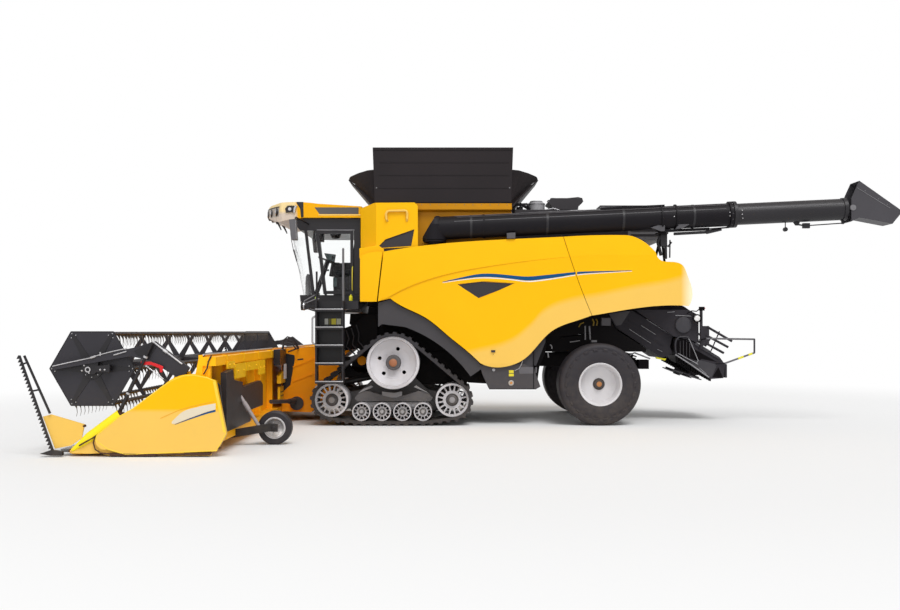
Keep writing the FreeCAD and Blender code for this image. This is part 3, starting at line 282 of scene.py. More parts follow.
def fit(piece, body, material, bevel=0.0):
    """Dresses a made piece: its finish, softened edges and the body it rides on."""
    piece.data.materials.append(material)
    if bevel:
        edge = piece.modifiers.new("soft_edges", "BEVEL")
        edge.width = bevel
        edge.segments = 2
        edge.limit_method = "ANGLE"
        edge.angle_limit = math.radians(40)
    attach(piece, body)
    return piece


def tube(path, radius, sides=8):
    """A round bar: a circle carried along the path, square to the mean direction at each point."""
    path = np.asarray(path, float)
    ahead = np.gradient(path, axis=0)
    ahead /= np.linalg.norm(ahead, axis=1, keepdims=True)
    spare = np.eye(3)[np.argmin(np.abs(ahead).max(axis=0))]
    side = np.cross(ahead, spare)
    side /= np.linalg.norm(side, axis=1, keepdims=True)
    over = np.cross(side, ahead)
    turn = np.linspace(0, 2 * math.pi, sides, endpoint=False)[None, :, None]
    radius = np.broadcast_to(np.asarray(radius, float), len(path))[:, None, None]
    return path[:, None] + radius * (np.cos(turn) * side[:, None] + np.sin(turn) * over[:, None])


def prism(outline, low, high, along="y"):
    """A flat outline given two thickness limits: (x, z) along y, (y, z) along x, (x, y) along z."""
    flat = np.asarray(outline, float)
    rows = []
    for level in (low, high):
        depth = np.full(len(flat), float(level))
        parts = {"y": (flat[:, 0], depth, flat[:, 1]), "x": (depth, flat[:, 0], flat[:, 1]),
            "z": (flat[:, 0], flat[:, 1], depth)}[along]
        rows.append(np.stack(parts, -1))
    return np.stack(rows)


def block(low, high):
    """A rectangular bar between two corners."""
    (x0, y0, z0), (x1, y1, z1) = low, high
    return prism([(x0, z0), (x1, z0), (x1, z1), (x0, z1)], y0, y1)


def turned(profile, centre, axis="y", steps=48):
    """A profile of (place along the axis, radius) turned once round the axis through the centre."""
    along, radius = np.asarray(profile, float).T
    radius = np.maximum(radius, 0.0001)
    turn = np.linspace(0, 2 * math.pi, steps, endpoint=False)
    a = radius[:, None] * np.cos(turn)
    b = radius[:, None] * np.sin(turn)
    flat = np.broadcast_to(along[:, None], a.shape)
    order = {"y": (a, flat, b), "x": (flat, a, b), "z": (a, b, flat)}[axis]
    return np.stack(order, -1) + np.asarray(centre, float)


def bolts(places, axis, start, reach, radius, sides=6):
    """Bolt heads: a low prism with a chamfered top at each place, standing along the axis."""
    lift = [(start, radius), (start + 0.75 * reach, radius), (start + reach, 0.7 * radius)]
    return [lathe(lift, place, axis, steps=sides) for place in places]


def plate(outline, low, high, along="y"):
    """The net of a prism."""
    return net(prism(outline, low, high, along))


def box(low, high):
    """The net of a block."""
    return net(block(low, high))


def pipe(path, radius, sides=8):
    """The net of a tube."""
    return net(tube(path, radius, sides))


def rod(y, path, radius, sides=8):
    """The net of a tube whose path of (x, z) stays at one y."""
    return pipe([(x, y, z) for x, z in path], radius, sides)


def lathe(profile, centre, axis="y", steps=48, ends=True):
    """The net of a turned profile."""
    return net(turned(profile, centre, axis, steps), ends=ends)


def both(nets):
    """Nets made for the left side, with their mirror images on the right before them."""
    return [(points * (1, -1, 1), faces) for points, faces in nets] + nets


def add(name, nets, material, body="chassis", bevel=0.0):
    """A solid of the nets, dressed by fit."""
    return fit(solid(name, nets), body, material, bevel)


black_paint = finish("black_satin_paint", (0.0165, 0.015, 0.0175), 0.36, dust=0.12, mottle=0.14, clean=1.2)
coat_node(black_paint, "rear_axle", "left_knuckle", "right_knuckle")

# The steering rod and its cylinder, and hoses along the steered axle, all on the frame side.
AXLE = (-1.519, 0.0, 0.725)
SIDES = ((1, "left"), (-1, "right"))
BEHIND = AXLE[0] - 0.17
add("steering_gear", [
    pipe([(BEHIND, -0.62, 0.7), (BEHIND, 0.62, 0.7)], 0.024, 12),
    pipe([(BEHIND, -0.26, 0.7), (BEHIND, 0.26, 0.7)], 0.043, 14),
    *[pipe([(AXLE[0] + 0.12, side * 0.44, 1.04), (AXLE[0] + 0.16, side * 0.52, 0.98),
        (AXLE[0] + 0.15, side * 0.66, 0.9), (AXLE[0] + 0.08, side * 0.8, 0.86)], 0.013) for side in (-1, 1)]
], black_paint)

# ------------------------------------------------------------------ rear wheels
# Broad flotation tyres: smooth carcass from the frame model, with rubber lugs moulded on in two
# interlocking rows that lean forward to the crown. The rim is pressed steel, painted light grey.
TYRE_RADIUS = 0.725
RIM_RADIUS = 0.371
LUGS = 22

# Round zone: 1 inside a radius round an axis across the machine, 0 outside.
zone, given, made = group_of("round_zone", [("X", "Float", 0.0), ("Z", "Float", 0.0),
    ("Radius", "Float", 0.3), ("Edge", "Float", 0.002)], [("Mask", "Float")])
dx = sum_of(zone, "SUBTRACT", along(zone, "X"), given.outputs["X"])
dz = sum_of(zone, "SUBTRACT", along(zone, "Z"), given.outputs["Z"])
squares = sum_of(zone, "ADD", sum_of(zone, "MULTIPLY", dx, dx), sum_of(zone, "MULTIPLY", dz, dz))
reach = sum_of(zone, "POWER", squares, 0.5)
outer = sum_of(zone, "ADD", given.outputs["Radius"], given.outputs["Edge"])
join(zone, ranged(zone, reach, given.outputs["Radius"], outer, 1.0, 0.0), made.inputs["Mask"])


def disc_of(tree, x, z, radius):
    """The mask of a round zone."""
    return node(tree, "Group", {"X": x, "Z": z, "Radius": radius}, node_tree=zone).outputs["Mask"]


def zoned(name, outside, rings, rough=0.5, dust=0.35, clean=1.6, mottle=0.1, peel=(260.0, 0.0006, 0.5)):
    """A finish whose colour changes at radii round one or more axes: rings are (x, z, radius, colour)."""
    made = finish(name, outside, rough, dust=dust, mottle=mottle, clean=clean, peel=peel)
    for x, z, radius, colour in rings:
        overlay(made, disc_of(made.node_tree, x, z, radius), colour)
    return made


RUBBER = (0.023, 0.02, 0.025)
RIM_GREY = (0.66, 0.645, 0.66)
tyre_finish = zoned("tyre_and_rim", RUBBER, [(AXLE[0], AXLE[2], RIM_RADIUS + 0.004, RIM_GREY),
    (AXLE[0], AXLE[2], 0.105, (0.05, 0.045, 0.045)), (AXLE[0], AXLE[2], 0.05, (0.3, 0.12, 0.05))],
    rough=0.55, dust=0.16, clean=1.3, peel=(90.0, 0.0012, 0.5))
rim_finish = zoned("rim_fittings", RIM_GREY, [(AXLE[0], AXLE[2], 0.083, (0.05, 0.045, 0.045)),
    (AXLE[0], AXLE[2], 0.046, (0.42, 0.17, 0.05))], rough=0.42, dust=0.2, clean=1.6)
tread_rubber = finish("tread_rubber", RUBBER, 0.6, dust=0.2, mottle=0.15, clean=1.4,
    peel=(90.0, 0.0012, 0.5))


def tread(centre):
    """Lugs of one tyre: each a tapered bar on the crown, its line swept back as it nears the shoulder.

    Along a lug s runs 0 to 1 from the crown to the side wall. Across the tyre it lies at
    y = 0.015 + 0.292 s, its angle falls back by 0.30 s^1.3, and its foot follows the carcass, which
    drops from the crown radius at the shoulder.
    """
    s = np.linspace(0, 1, 7)[:, None]
    across = np.array([-0.5, -0.36, 0.36, 0.5])[None, :]
    lift = np.array([-0.012, 0.026, 0.026, -0.012])[None, :]
    y = 0.015 + 0.292 * s + 0 * across
    drop = 0.1 * np.clip((s - 0.62) / 0.38, 0, 1) ** 1.6
    radius = TYRE_RADIUS - 0.028 - drop + lift * (1 - 0.25 * s)
    width = (0.075 + 0.035 * s) / TYRE_RADIUS
    nets = []
    for half in (-1, 1):
        first = (0.5 if half > 0 else 0.0) * 2 * math.pi / LUGS
        turn = first + np.arange(LUGS)[:, None, None] * 2 * math.pi / LUGS
        angle = turn + 0.3 * s ** 1.3 - 0.15 + width * across
        lug = np.stack([centre[0] + radius * np.cos(angle), centre[1] + half * y + 0 * angle,
            centre[2] + radius * np.sin(angle)], -1)
        nets.append(net(lug))
    return nets


for side, word in SIDES:
    centre = (AXLE[0], side * 1.45, AXLE[2])
    add(f"{word}_tyre_tread", tread(centre), tread_rubber, f"{word}_back_wheel")
    turn = np.linspace(0, 2 * math.pi, 10, endpoint=False)
    studs = [(AXLE[0] + 0.165 * math.cos(a), 0, AXLE[2] + 0.165 * math.sin(a)) for a in turn]
    parts = bolts(studs, "y", side * 1.468, side * 0.022, 0.014)
    lip = [(1.7, 0.371), (1.738, 0.383), (1.744, 0.376), (1.738, 0.364), (1.7, 0.35), (1.7, 0.371)]
    parts += [lathe([(side * y, r) for y, r in lip], (AXLE[0], 0, AXLE[2]), steps=72, ends=False)]
    crease = [(1.462, 0.262), (1.484, 0.272), (1.484, 0.286), (1.462, 0.296), (1.462, 0.262)]
    parts += [lathe([(side * y, r) for y, r in crease], (AXLE[0], 0, AXLE[2]), steps=72, ends=False)]
    cap = [(1.555, 0.082), (1.575, 0.08), (1.588, 0.068), (1.588, 0.048), (1.6, 0.044), (1.604, 0.001)]
    parts += [lathe([(side * y, r) for y, r in cap], (AXLE[0], 0, AXLE[2]), steps=32)]
    add(f"{word}_wheel_fittings", parts, rim_finish, f"{word}_back_wheel")
    coat_node(tyre_finish, f"{word}_rear_wheel")

# ------------------------------------------------------------------ track units
# Three-cornered track units: a drive wheel high up, two idlers on the ground line and four
# small rollers between them. Wheels are cast and painted light grey, belts are black rubber.
DRIVE = (2.13, 1.106)
IDLERS = [(3.214, 0.449), (1.086, 0.449)]
ROLLERS = [(2.69, 0.24), (2.328, 0.24), (1.966, 0.24), (1.604, 0.24)]
WHEEL_GREY = (0.58, 0.565, 0.59)
RUST = (0.34, 0.13, 0.06)

rings = [(*DRIVE, 0.137, (0.09, 0.085, 0.09)), (*DRIVE, 0.07, RUST)]
for spot in IDLERS:
    rings += [(*spot, 0.112, (0.075, 0.07, 0.075)), (*spot, 0.052, (0.28, 0.27, 0.28))]
for spot in ROLLERS:
    rings += [(*spot, 0.06, (0.17, 0.165, 0.17)), (*spot, 0.03, (0.36, 0.35, 0.36))]
wheel_paint = zoned("wheel_castings", WHEEL_GREY, rings, rough=0.42, dust=0.26, clean=1.9, mottle=0.16,
    peel=(200.0, 0.0005, 0.4))
belt_rubber = finish("belt_rubber", (0.027, 0.025, 0.029), 0.66, dust=0.15, mottle=0.22, clean=1.5,
    peel=(70.0, 0.0014, 0.5))
frame_grey = finish("frame_castings", (0.085, 0.082, 0.088), 0.42, dust=0.22, mottle=0.16, clean=1.7)
coat_node(wheel_paint, "track_wheels")
coat_node(belt_rubber, "left_track_belt", "right_track_belt")
coat_node(frame_grey, "track_frames")


def circled(spot, radius, count, first=0.0):
    """Places evenly spaced round an axis that runs across the machine."""
    turn = first + np.linspace(0, 2 * math.pi, count, endpoint=False)
    return [(spot[0] + radius * math.cos(a), 0, spot[1] + radius * math.sin(a)) for a in turn]
cap = [(1.64, 0.112), (1.652, 0.108), (1.652, 0.074), (1.668, 0.068), (1.68, 0.045), (1.682, 0.001)]
hubs = [
    lathe([(y, r) for y, r in cap], (DRIVE[0], 0, DRIVE[1]), steps=40),
    *bolts(circled(DRIVE, 0.091, 12), "y", 1.65, 0.01, 0.008),
    *bolts(circled(DRIVE, 0.185, 10, 0.2), "y", 1.52, 0.016, 0.01)
]
rim = [(1.69, 0.455), (1.704, 0.462), (1.706, 0.448), (1.694, 0.44), (1.69, 0.455)]
hubs += [lathe([(y, r) for y, r in rim], (DRIVE[0], 0, DRIVE[1]), steps=96, ends=False)]
for spot in IDLERS:
    cap = [(1.638, 0.086), (1.656, 0.084), (1.668, 0.066), (1.668, 0.05), (1.684, 0.046), (1.69, 0.001)]
    hubs += [
        lathe([(y, r) for y, r in cap], (spot[0], 0, spot[1]), steps=32),
        *bolts(circled(spot, 0.1, 8), "y", 1.6, 0.012, 0.008)
    ]
for spot in ROLLERS:
    cap = [(1.638, 0.046), (1.652, 0.044), (1.66, 0.03), (1.668, 0.026), (1.67, 0.001)]
    hubs += [lathe([(y, r) for y, r in cap], (spot[0], 0, spot[1]), steps=24)]

# The side beam carries a paler machined saddle with four bolts, and lugs for the roller rockers.
saddle = [(2.335, 0.59), (2.13, 0.566), (1.979, 0.59), (1.979, 0.522), (2.08, 0.48), (2.17, 0.48),
    (2.335, 0.522)]
castings = [
    plate(saddle, 1.478, 1.492),
    *bolts([(x, 0, 0.548) for x in (2.02, 2.07, 2.235, 2.29)], "y", 1.49, 0.01, 0.01)
]
for x in (2.509, 2.147, 1.785):
    foot = [(x - 0.16, 0.4), (x + 0.16, 0.4), (x + 0.1, 0.3), (x + 0.03, 0.27), (x - 0.03, 0.27),
        (x - 0.1, 0.3)]
    castings += [plate(foot, 1.4, 1.445), *bolts([(x, 0, 0.325)], "y", 1.443, 0.02, 0.028, 16)]
for x, z, sweep in ((2.66, 0.6, 1), (1.6, 0.6, -1)):
    arm = [(x + 0.02, z + 0.03), (x - sweep * 0.13, z + 0.1), (x - sweep * 0.17, z + 0.07),
        (x + sweep * 0.1, z - 0.04)]
    castings += [plate(arm, 1.46, 1.5)]
add("track_hubs", both(hubs), wheel_paint)
saddle_grey = finish("saddle_castings", (0.23, 0.225, 0.235), 0.4, dust=0.2, mottle=0.14, clean=1.5)
add("track_castings", both(castings), saddle_grey, bevel=0.004)

# ------------------------------------------------------------------ side panels
# Deep yellow doors with a clear coat. A tapering blue stripe with a thin white line beneath runs
# along the shoulder, broken at the gap between the doors.
YELLOW = (0.9, 0.47, 0.001)
# PALE is the colour of the painted reflection on the doors and header shields, and the grab handles' own
# pale yellow.
PALE = (0.83, 0.515, 0.1)
STRIPE = (0.004, 0.07, 0.2)
WHITE = (0.78, 0.78, 0.76)
# Upper edge of the painted reflection on the doors, as (x, z).
PAINTED_REFLECTION_EDGE = [(-3.2, 2.75), (-2.926, 2.614), (-2.069, 2.443), (-1.47, 2.314), (-0.999, 2.229), (-0.571, 2.057),
    (-0.271, 1.757), (0.07, 1.501), (0.671, 1.33), (0.8, 1.3)]
PAINTED_REFLECTION_SPAN = (-3.2, 0.8)
PAINTED = dict(dust=0.06, mottle=0.02, clean=1.0, gloss=0.12, peel=(420.0, 0.0002, 0.25))
yellow_paint = finish("yellow_coat", YELLOW, 0.3, **PAINTED)
# The grain tank takes a darker, oranger copy of the yellow: painted shade.
tank_yellow_in_shade = finish("yellow_in_shade", (0.56, 0.24, 0.003), 0.42, dust=0.16, mottle=0.12, clean=1.2,
    gloss=0.15)
# Painted reflection: below a line falling from the rear shoulder to the front door's foot, the doors are
# painted pale, standing in for the white surroundings reflected in their lower curve.
tree = yellow_paint.node_tree
door_place = ranged(tree, along(tree, "X"), *PAINTED_REFLECTION_SPAN)
reflection_edge = node(tree, "FloatCurve", {"Value": door_place})
curve = reflection_edge.mapping.curves[0]
for i, (x, z) in enumerate(PAINTED_REFLECTION_EDGE):
    spot = ((x - PAINTED_REFLECTION_SPAN[0]) / (PAINTED_REFLECTION_SPAN[1] - PAINTED_REFLECTION_SPAN[0]), z / 3)
    if 0 < i < len(PAINTED_REFLECTION_EDGE) - 1:
        curve.points.new(*spot)
    else:
        curve.points[0 if i == 0 else -1].location = spot
reflection_edge.mapping.update()
under = sum_of(tree, "SUBTRACT", sum_of(tree, "MULTIPLY", reflection_edge.outputs[0], 3.0), along(tree, "Z"))
door_reflection = sum_of(tree, "MULTIPLY", ranged(tree, under, -0.05, 0.07),
    ranged(tree, along(tree, "X"), 1.6, 1.5))
overlay(yellow_paint, door_reflection, PALE)
# Painted highlight: the rounded rear end of the rear panels is painted near-white towards its back edge.
rear_end_highlight = sum_of(tree, "MULTIPLY", ranged(tree, along(tree, "X"), -2.96, -3.13, 0.0, 0.75),
    ranged(tree, along(tree, "Z"), 2.75, 2.95, 1.0, 0.0))
overlay(yellow_paint, rear_end_highlight, (0.97, 0.88, 0.66))
coat_node(yellow_paint, "front_body_panels", "left_front_panel", "right_front_panel", "left_rear_panel",
    "right_rear_panel")
coat_node(tank_yellow_in_shade, "grain_tank")
# The feeder house's yellow, painted darker and oranger as shade.
feeder_yellow_in_shade = finish("feeder_yellow_in_shade", (0.95, 0.32, 0.001), 0.42, clean=1.2, gloss=0.12)
coat_node(feeder_yellow_in_shade, "feeder_house")
frame_yellow = finish("frame_yellow", (1.0, 0.47, 0.006), 0.42, dust=0.08, clean=1.2, gloss=0.12)
coat_node(frame_yellow, "header_frame")
machine_black = finish("machine_black", (0.0065, 0.0052, 0.0058), 0.62, mottle=0.25, gloss=0.1)
coat_node(machine_black, "machine_body", "chassis_frame")
residue_black = finish("residue_black", (0.036, 0.033, 0.039), 0.62, dust=0.12, mottle=0.2, gloss=0.1)
coat_node(residue_black, "chopper_housing", "spreader_deck", "tailboard", "left_spreader", "right_spreader")

stripe_blue = finish("stripe_blue", STRIPE, 0.3, **PAINTED)
stripe_white = finish("stripe_white", WHITE, 0.32, **PAINTED)


STRIPE_LINE = [(1.256, 2.533), (0.927, 2.597), (0.593, 2.648), (0.319, 2.646), (0.045, 2.62),
    (-0.259, 2.594), (-0.533, 2.618), (-0.819, 2.653), (-1.127, 2.692), (-1.6, 2.716), (-2.092, 2.736)]
STRIPE_HALF = [(1.256, 0.004), (0.927, 0.016), (0.6, 0.028), (0.0, 0.031), (-0.3, 0.036), (-0.8, 0.029),
    (-1.127, 0.02), (-2.092, 0.003)]
PANEL_FACE = 1.63


def smooth(knots, x):
    """Values along a line of knots, joined by cubic steps that keep the slope at each knot."""
    px, pz = np.asarray(sorted(knots), float).T
    spot = np.clip(np.searchsorted(px, x) - 1, 0, len(px) - 2)
    share = np.clip((x - px[spot]) / (px[spot + 1] - px[spot]), 0, 1)
    slope = np.gradient(pz, px)
    h = px[spot + 1] - px[spot]
    a, b = 2 * share ** 3 - 3 * share ** 2 + 1, share ** 3 - 2 * share ** 2 + share
    c, d = -2 * share ** 3 + 3 * share ** 2, share ** 3 - share ** 2
    return a * pz[spot] + b * h * slope[spot] + c * pz[spot + 1] + d * h * slope[spot + 1]


def film(x, low, high, side, face, thick=0.0022):
    """A thin coloured film on an upright face: its lower and upper edge are given for each x."""
    skin, out = 0 * x + side * (face - 0.001), 0 * x + side * (face + thick)
    rows = [(x, skin, low), (x, out, low), (x, out, high), (x, skin, high)]
    return net(np.stack([np.stack(r, -1) for r in rows], 1))


def band(start, stop, side, upper, lower):
    """A film whose edges are the stripe's line plus a share of its half width and a fixed step."""
    x = np.linspace(start, stop, 48)
    mid, half = smooth(STRIPE_LINE, x), smooth(STRIPE_HALF, x)
    return film(x, mid + lower[0] * half + lower[1], mid + upper[0] * half + upper[1], side, PANEL_FACE)


for side, word in SIDES:
    for door, start, stop in (("front", 1.256, -1.088), ("rear", -1.122, -2.092)):
        blue = band(start, stop, side, (1.0, 0.0), (-1.0, 0.0))
        add(f"{word}_{door}_stripe", [blue], stripe_blue, f"{word}_{door}_side_door")
        pale = band(start, stop, side, (-1.0, -0.006), (-1.35, -0.012))
        add(f"{word}_{door}_pinstripe", [pale], stripe_white, f"{word}_{door}_side_door")

# Moulded black grilles in the recess of each front door: a plate with slanting blades.
VENT = np.array([(0.986, 2.49), (0.565, 2.54), (-0.04, 2.504), (0.649, 2.24)])
moulded = finish("moulded_black", (0.034, 0.03, 0.034), 0.5, dust=0.12, mottle=0.08, clean=1.2,
    peel=(500.0, 0.0004, 0.6))
for side, word in SIDES:
    grille = [plate(VENT, side * 1.609, side * 1.6135)]
    for x in np.linspace(0.1, 0.9, 15):
        top = np.interp(x, *VENT[[2, 1, 0]].T) - 0.008
        foot = max(np.interp(x, *VENT[[2, 3]].T),
            np.interp(x, *VENT[[3, 0]].T) if x > VENT[3, 0] else 0) + 0.008
        if top - foot > 0.02:
            blade = [(x - 0.003, foot), (x + 0.003, foot), (x + 0.003, top), (x - 0.003, top)]
            grille += [plate(blade, side * 1.612, side * 1.622)]
    add(f"{word}_door_grille", grille, moulded, f"{word}_front_side_door")

# Dark corner panes let into the shoulders, and a moulded grab handle above each.
SHOULDER = np.array([(2.444, 3.084), (2.335, 3.268), (1.763, 3.483), (1.818, 3.16), (2.369, 3.084)])
panes = [plate(SHOULDER, 1.468, 1.478)]
frame_line = np.concatenate([SHOULDER, SHOULDER[:1]])
panes += [rod(1.482, [(a[0], a[1]), (b[0], b[1])], 0.007, 6) for a, b in zip(frame_line[:-1],
    frame_line[1:])]
y0, y1 = 1.498, 1.535
add("corner_panes", both(panes), moulded)
grab_yellow = finish("grab_yellow", PALE, 0.35, mottle=0.03, clean=1.2)
add("shoulder_grabs", both([
    pipe([(2.238, y0, 3.628), (2.252, y1, 3.65), (2.262, y1, 3.75), (2.235, y1, 3.792), (2.2, y1, 3.8),
        (1.93, y1, 3.806), (1.898, y1, 3.795), (1.886, y1, 3.76), (1.888, y1, 3.66), (1.892, y0, 3.63)],
        0.021, 10)
]), grab_yellow)

# Filler pieces that close the gap between the shoulder and the front side door.
fillers = [plate([(2.735, 2.96), (2.735, 3.135), (2.4, 3.19), (2.3, 3.12), (2.3, 2.96)], side * 1.3,
    side * 1.54) for side in (-1, 1)]
add("shoulder_fillers", fillers, yellow_paint, bevel=0.006)

# ------------------------------------------------------------------ fenders and engine deck
# Black guards over the tracks, the engine hood and what stands on it.
FILTER = (-0.505, 0.37, 0)
fender_plastic = finish("fender_plastic", (0.052, 0.048, 0.053), 0.46, dust=0.12, mottle=0.12, clean=1.4,
    peel=(480.0, 0.0004, 0.5))
coat_node(fender_plastic, "track_fenders")
coat_node(moulded, "engine_hood")
fittings_grey = finish("deck_fittings_finish", (0.36, 0.355, 0.37), 0.4, dust=0.12, mottle=0.12)
tree = fittings_grey.node_tree
overlay(fittings_grey, ranged(tree, along(tree, "X"), -0.666, -0.662, 1.0, 0.0), (0.014, 0.012, 0.013))
coat_node(fittings_grey, "deck_fittings")
coat_node(black_paint, "engine")

# Pipework between tank and filter, the filter's clamp bands, the black cover's lifting handle,
# the painted highlight along the hood's top edge and the raised cooler box.
add("deck_pipework", [
    pipe([(-0.06, 0.6, 3.84), (-0.06, 0.6, 3.97), (-0.1, 0.6, 4.02), (-0.2, 0.59, 4.03), (-0.3, 0.52, 3.99),
        (-0.36, 0.44, 3.97)], 0.03, 12),
    pipe([(-0.16, 0.72, 3.82), (-0.17, 0.72, 3.96), (-0.22, 0.71, 4.02), (-0.3, 0.68, 4.03),
        (-0.36, 0.6, 3.95), (-0.38, 0.55, 3.88)], 0.02, 10),
    box((-0.32, 0.42, 3.82), (-0.09, 0.68, 3.93)),
    box((-0.24, 0.3, 3.92), (-0.13, 0.56, 3.99)),
    rod(0.5, [(-0.699, 4.09), (-0.715, 4.116), (-0.948, 4.139), (-1.275, 4.172), (-1.352, 4.156),
        (-1.34, 4.11), (-1.3, 4.05)], 0.01),
    plate([(-0.7, 4.06), (-0.745, 4.136), (-1.33, 4.136), (-1.352, 4.07), (-1.262, 3.985), (-1.255, 3.925),
        (-0.8, 3.925)], 0.66, 0.7)
], moulded, bevel=0.004)
add("deck_bright_parts", [
    lathe([(3.9, 0.16), (3.9, 0.164), (3.925, 0.164), (3.925, 0.16), (3.9, 0.16)], FILTER, "z", 32,
        ends=False),
    lathe([(4.05, 0.16), (4.05, 0.166), (4.07, 0.166), (4.07, 0.16), (4.05, 0.16)], FILTER, "z", 32,
        ends=False),
    lathe([(4.106, 0.12), (4.118, 0.112), (4.12, 0.001)], FILTER, "z", 32),
    # Painted highlight along the hood's top edge.
    rod(1.052, [(-0.47, 3.822), (-0.91, 3.842), (-1.2, 3.862), (-1.61, 3.878)], 0.014),
    pipe([(-0.62, 0.8, 3.9), (-0.78, 0.82, 3.93), (-0.9, 0.83, 3.895)], 0.012)
], finish("deck_silver", (0.38, 0.375, 0.39), 0.35, mottle=0.12, metal=0.3))
add("cooler_box", [
    plate([(-1.625, 3.85), (-1.625, 3.95), (-2.775, 3.95), (-2.775, 3.33), (-2.125, 3.33), (-2.125, 3.85)],
        -1.0, 1.0)
], finish("cooler_grey", (0.19, 0.185, 0.195), 0.5, dust=0.12, mottle=0.12, clean=1.2),
    bevel=0.006)
lid = [box((-2.785, -1.008, 3.948), (-1.618, 1.008, 3.963))]
for side in (-1, 1):
    lid += [box((-2.72, side * 1.006 - 0.004, 3.4 + 0.09 * k),
        (-2.18, side * 1.006 + 0.004, 3.44 + 0.09 * k)) for k in range(5)]
add("cooler_lid", lid, moulded, bevel=0.003)

# ------------------------------------------------------------------ side box and frame under the doors
# The box behind the track: an upper facet painted lighter as lit, seam, round filler cap, blank plates and
# hose, with dark covers, rods and pipes between it and the rear wheel.
FILLER_CAP = (0.041, 0, 0.745)
facet_slate = finish("facet_slate", (0.105, 0.1, 0.11), 0.5, dust=0.15, mottle=0.12, clean=1.2)
seam_black = finish("seam_black", (0.005, 0.0045, 0.005), 0.6, dust=0.05, gloss=0.1)
shade_slate = finish("shade_slate", (0.04, 0.037, 0.043), 0.5, dust=0.15, mottle=0.2, clean=1.2)
bright_rod = finish("bright_rod", (0.36, 0.355, 0.37), 0.3, dust=0.08, metal=0.4)
add("side_box_ends", both([
    plate([(-0.2, 0.64), (-0.403, 0.634), (-0.482, 0.68), (-0.4, 0.9), (-0.365, 1.03), (-0.25, 1.03)], 1.2,
        1.56)
]), fender_plastic, bevel=0.006)
# Facets painted lighter as lit: painted light.
add("side_box_facets", both([
    plate([(-0.085, 1.027), (-0.35, 1.027), (-0.35, 0.912), (-0.11, 0.908)], 1.555, 1.5665),
    plate([(-0.392, 1.025), (-0.418, 1.02), (-0.412, 0.925), (-0.392, 0.928)], 1.54, 1.5675)
]), facet_slate)
add("side_box_seams", both([
    box((-0.364, 1.5, 0.636), (-0.353, 1.5685, 1.3)),
    box((-0.4, 1.5, 0.632), (0.43, 1.5675, 0.644))
]), seam_black)
add("side_box_shades", both([
    plate([(-0.352, 1.37), (-0.1, 1.13), (0.38, 1.04), (0.36, 0.99), (-0.352, 1.026)], 1.3, 1.535),
    plate([(-0.37, 1.35), (-0.577, 1.545), (-0.577, 1.47), (-0.411, 1.051), (-0.37, 1.051)], 1.1, 1.47)
]), shade_slate)
add("side_frame_covers", both([
    plate([(-0.405, 0.65), (-0.45, 0.69), (-0.465, 0.85), (-0.495, 1.05), (-0.59, 1.25), (-0.62, 1.45),
        (-0.405, 1.45)], 0.7, 1.25),
    plate([(0.42, 0.7), (0.8, 0.72), (0.86, 1.1), (0.4, 1.1)], 0.35, 0.92)
]), machine_black, bevel=0.008)
add("side_rods", both([
    rod(1.068, [(-0.655, 1.275), (-0.668, 1.185)], 0.015, 10),
    rod(1.066, [(-0.7, 1.42), (-0.722, 1.395), (-0.735, 1.345)], 0.012),
    rod(1.07, [(-1.06, 1.465), (-1.243, 1.492)], 0.009),
    pipe([(-0.165, 1.572, 1.146), (-0.141, 1.575, 1.075), (-0.102, 1.575, 1.003), (-0.022, 1.572, 0.964)],
        0.007),
    *bolts([(0.35, 0, 0.978)], "y", 1.562, 0.014, 0.028, 8)
]), bright_rod)
add("side_box_caps", both([
    lathe([(1.562, 0.05), (1.574, 0.048), (1.58, 0.038), (1.576, 0.024), (1.576, 0.001)], FILLER_CAP,
        steps=28)
]), finish("cap_beige", (0.42, 0.38, 0.33), 0.4, mottle=0.15))
add("side_cap_centres", both([
    lathe([(1.576, 0.022), (1.584, 0.018), (1.586, 0.001)], FILLER_CAP, steps=20)
]), finish("cap_orange", (0.6, 0.24, 0.05), 0.4))
add("side_box_plates", both([
    box((-0.006, 1.563, 0.863), (0.082, 1.568, 0.91)),
    box((-0.004, 1.563, 0.922), (0.08, 1.568, 0.972))
]), finish("plate_yellow", (0.72, 0.6, 0.03), 0.4, mottle=0.12), bevel=0.001)
for side, word in SIDES:
    dark_plate = [box((0.326, min(side * 1.648, side * 1.653), 1.29),
        (0.398, max(side * 1.648, side * 1.653), 1.329))] + bolts([(0.36, 0, 1.258)], "y", side * 1.648,
        side * 0.005, 0.007)
    add(f"{word}_door_plate", dark_plate, moulded, f"{word}_front_side_door")

# ------------------------------------------------------------------ frame brackets ahead of the drive wheels
# Black brackets, hoses and the drive housing, in the feeder's shade-darkened yellow, seen between the ladder
# and the belt.
add("front_brackets", both([
    plate([(2.45, 1.975), (2.674, 1.975), (2.92, 1.773), (3.097, 1.707), (3.053, 1.308), (2.808, 1.352),
        (2.64, 1.18), (2.45, 1.25)], 0.82, 0.98),
    plate([(3.06, 1.19), (2.66, 1.24), (2.64, 0.99), (2.89, 1.02), (2.93, 1.075), (3.06, 1.075)], 0.945,
        0.995),
    plate([(3.1, 1.06), (2.95, 1.06), (2.9, 0.96), (2.78, 0.92), (2.6, 0.9), (2.6, 0.82), (3.12, 0.82)],
        0.95, 1.005)
]), machine_black, bevel=0.008)
add("drive_housings", both([
    lathe([(0.93, 0.06), (0.96, 0.082), (1.012, 0.082), (1.02, 0.06), (1.02, 0.001)], (2.735, 0, 1.125),
        steps=28)
]), feeder_yellow_in_shade)
add("front_hoses", both([pipe([(x, 1.0, z), (x - 0.05, 1.008, z - 0.15), (x - 0.02 * k, 1.008, z - 0.3),
    (x - 0.16, 1.0, z - 0.44)], 0.013) for k, (x, z) in enumerate([(3.02, 1.68), (2.93, 1.72),
    (2.84, 1.78)])]), moulded)

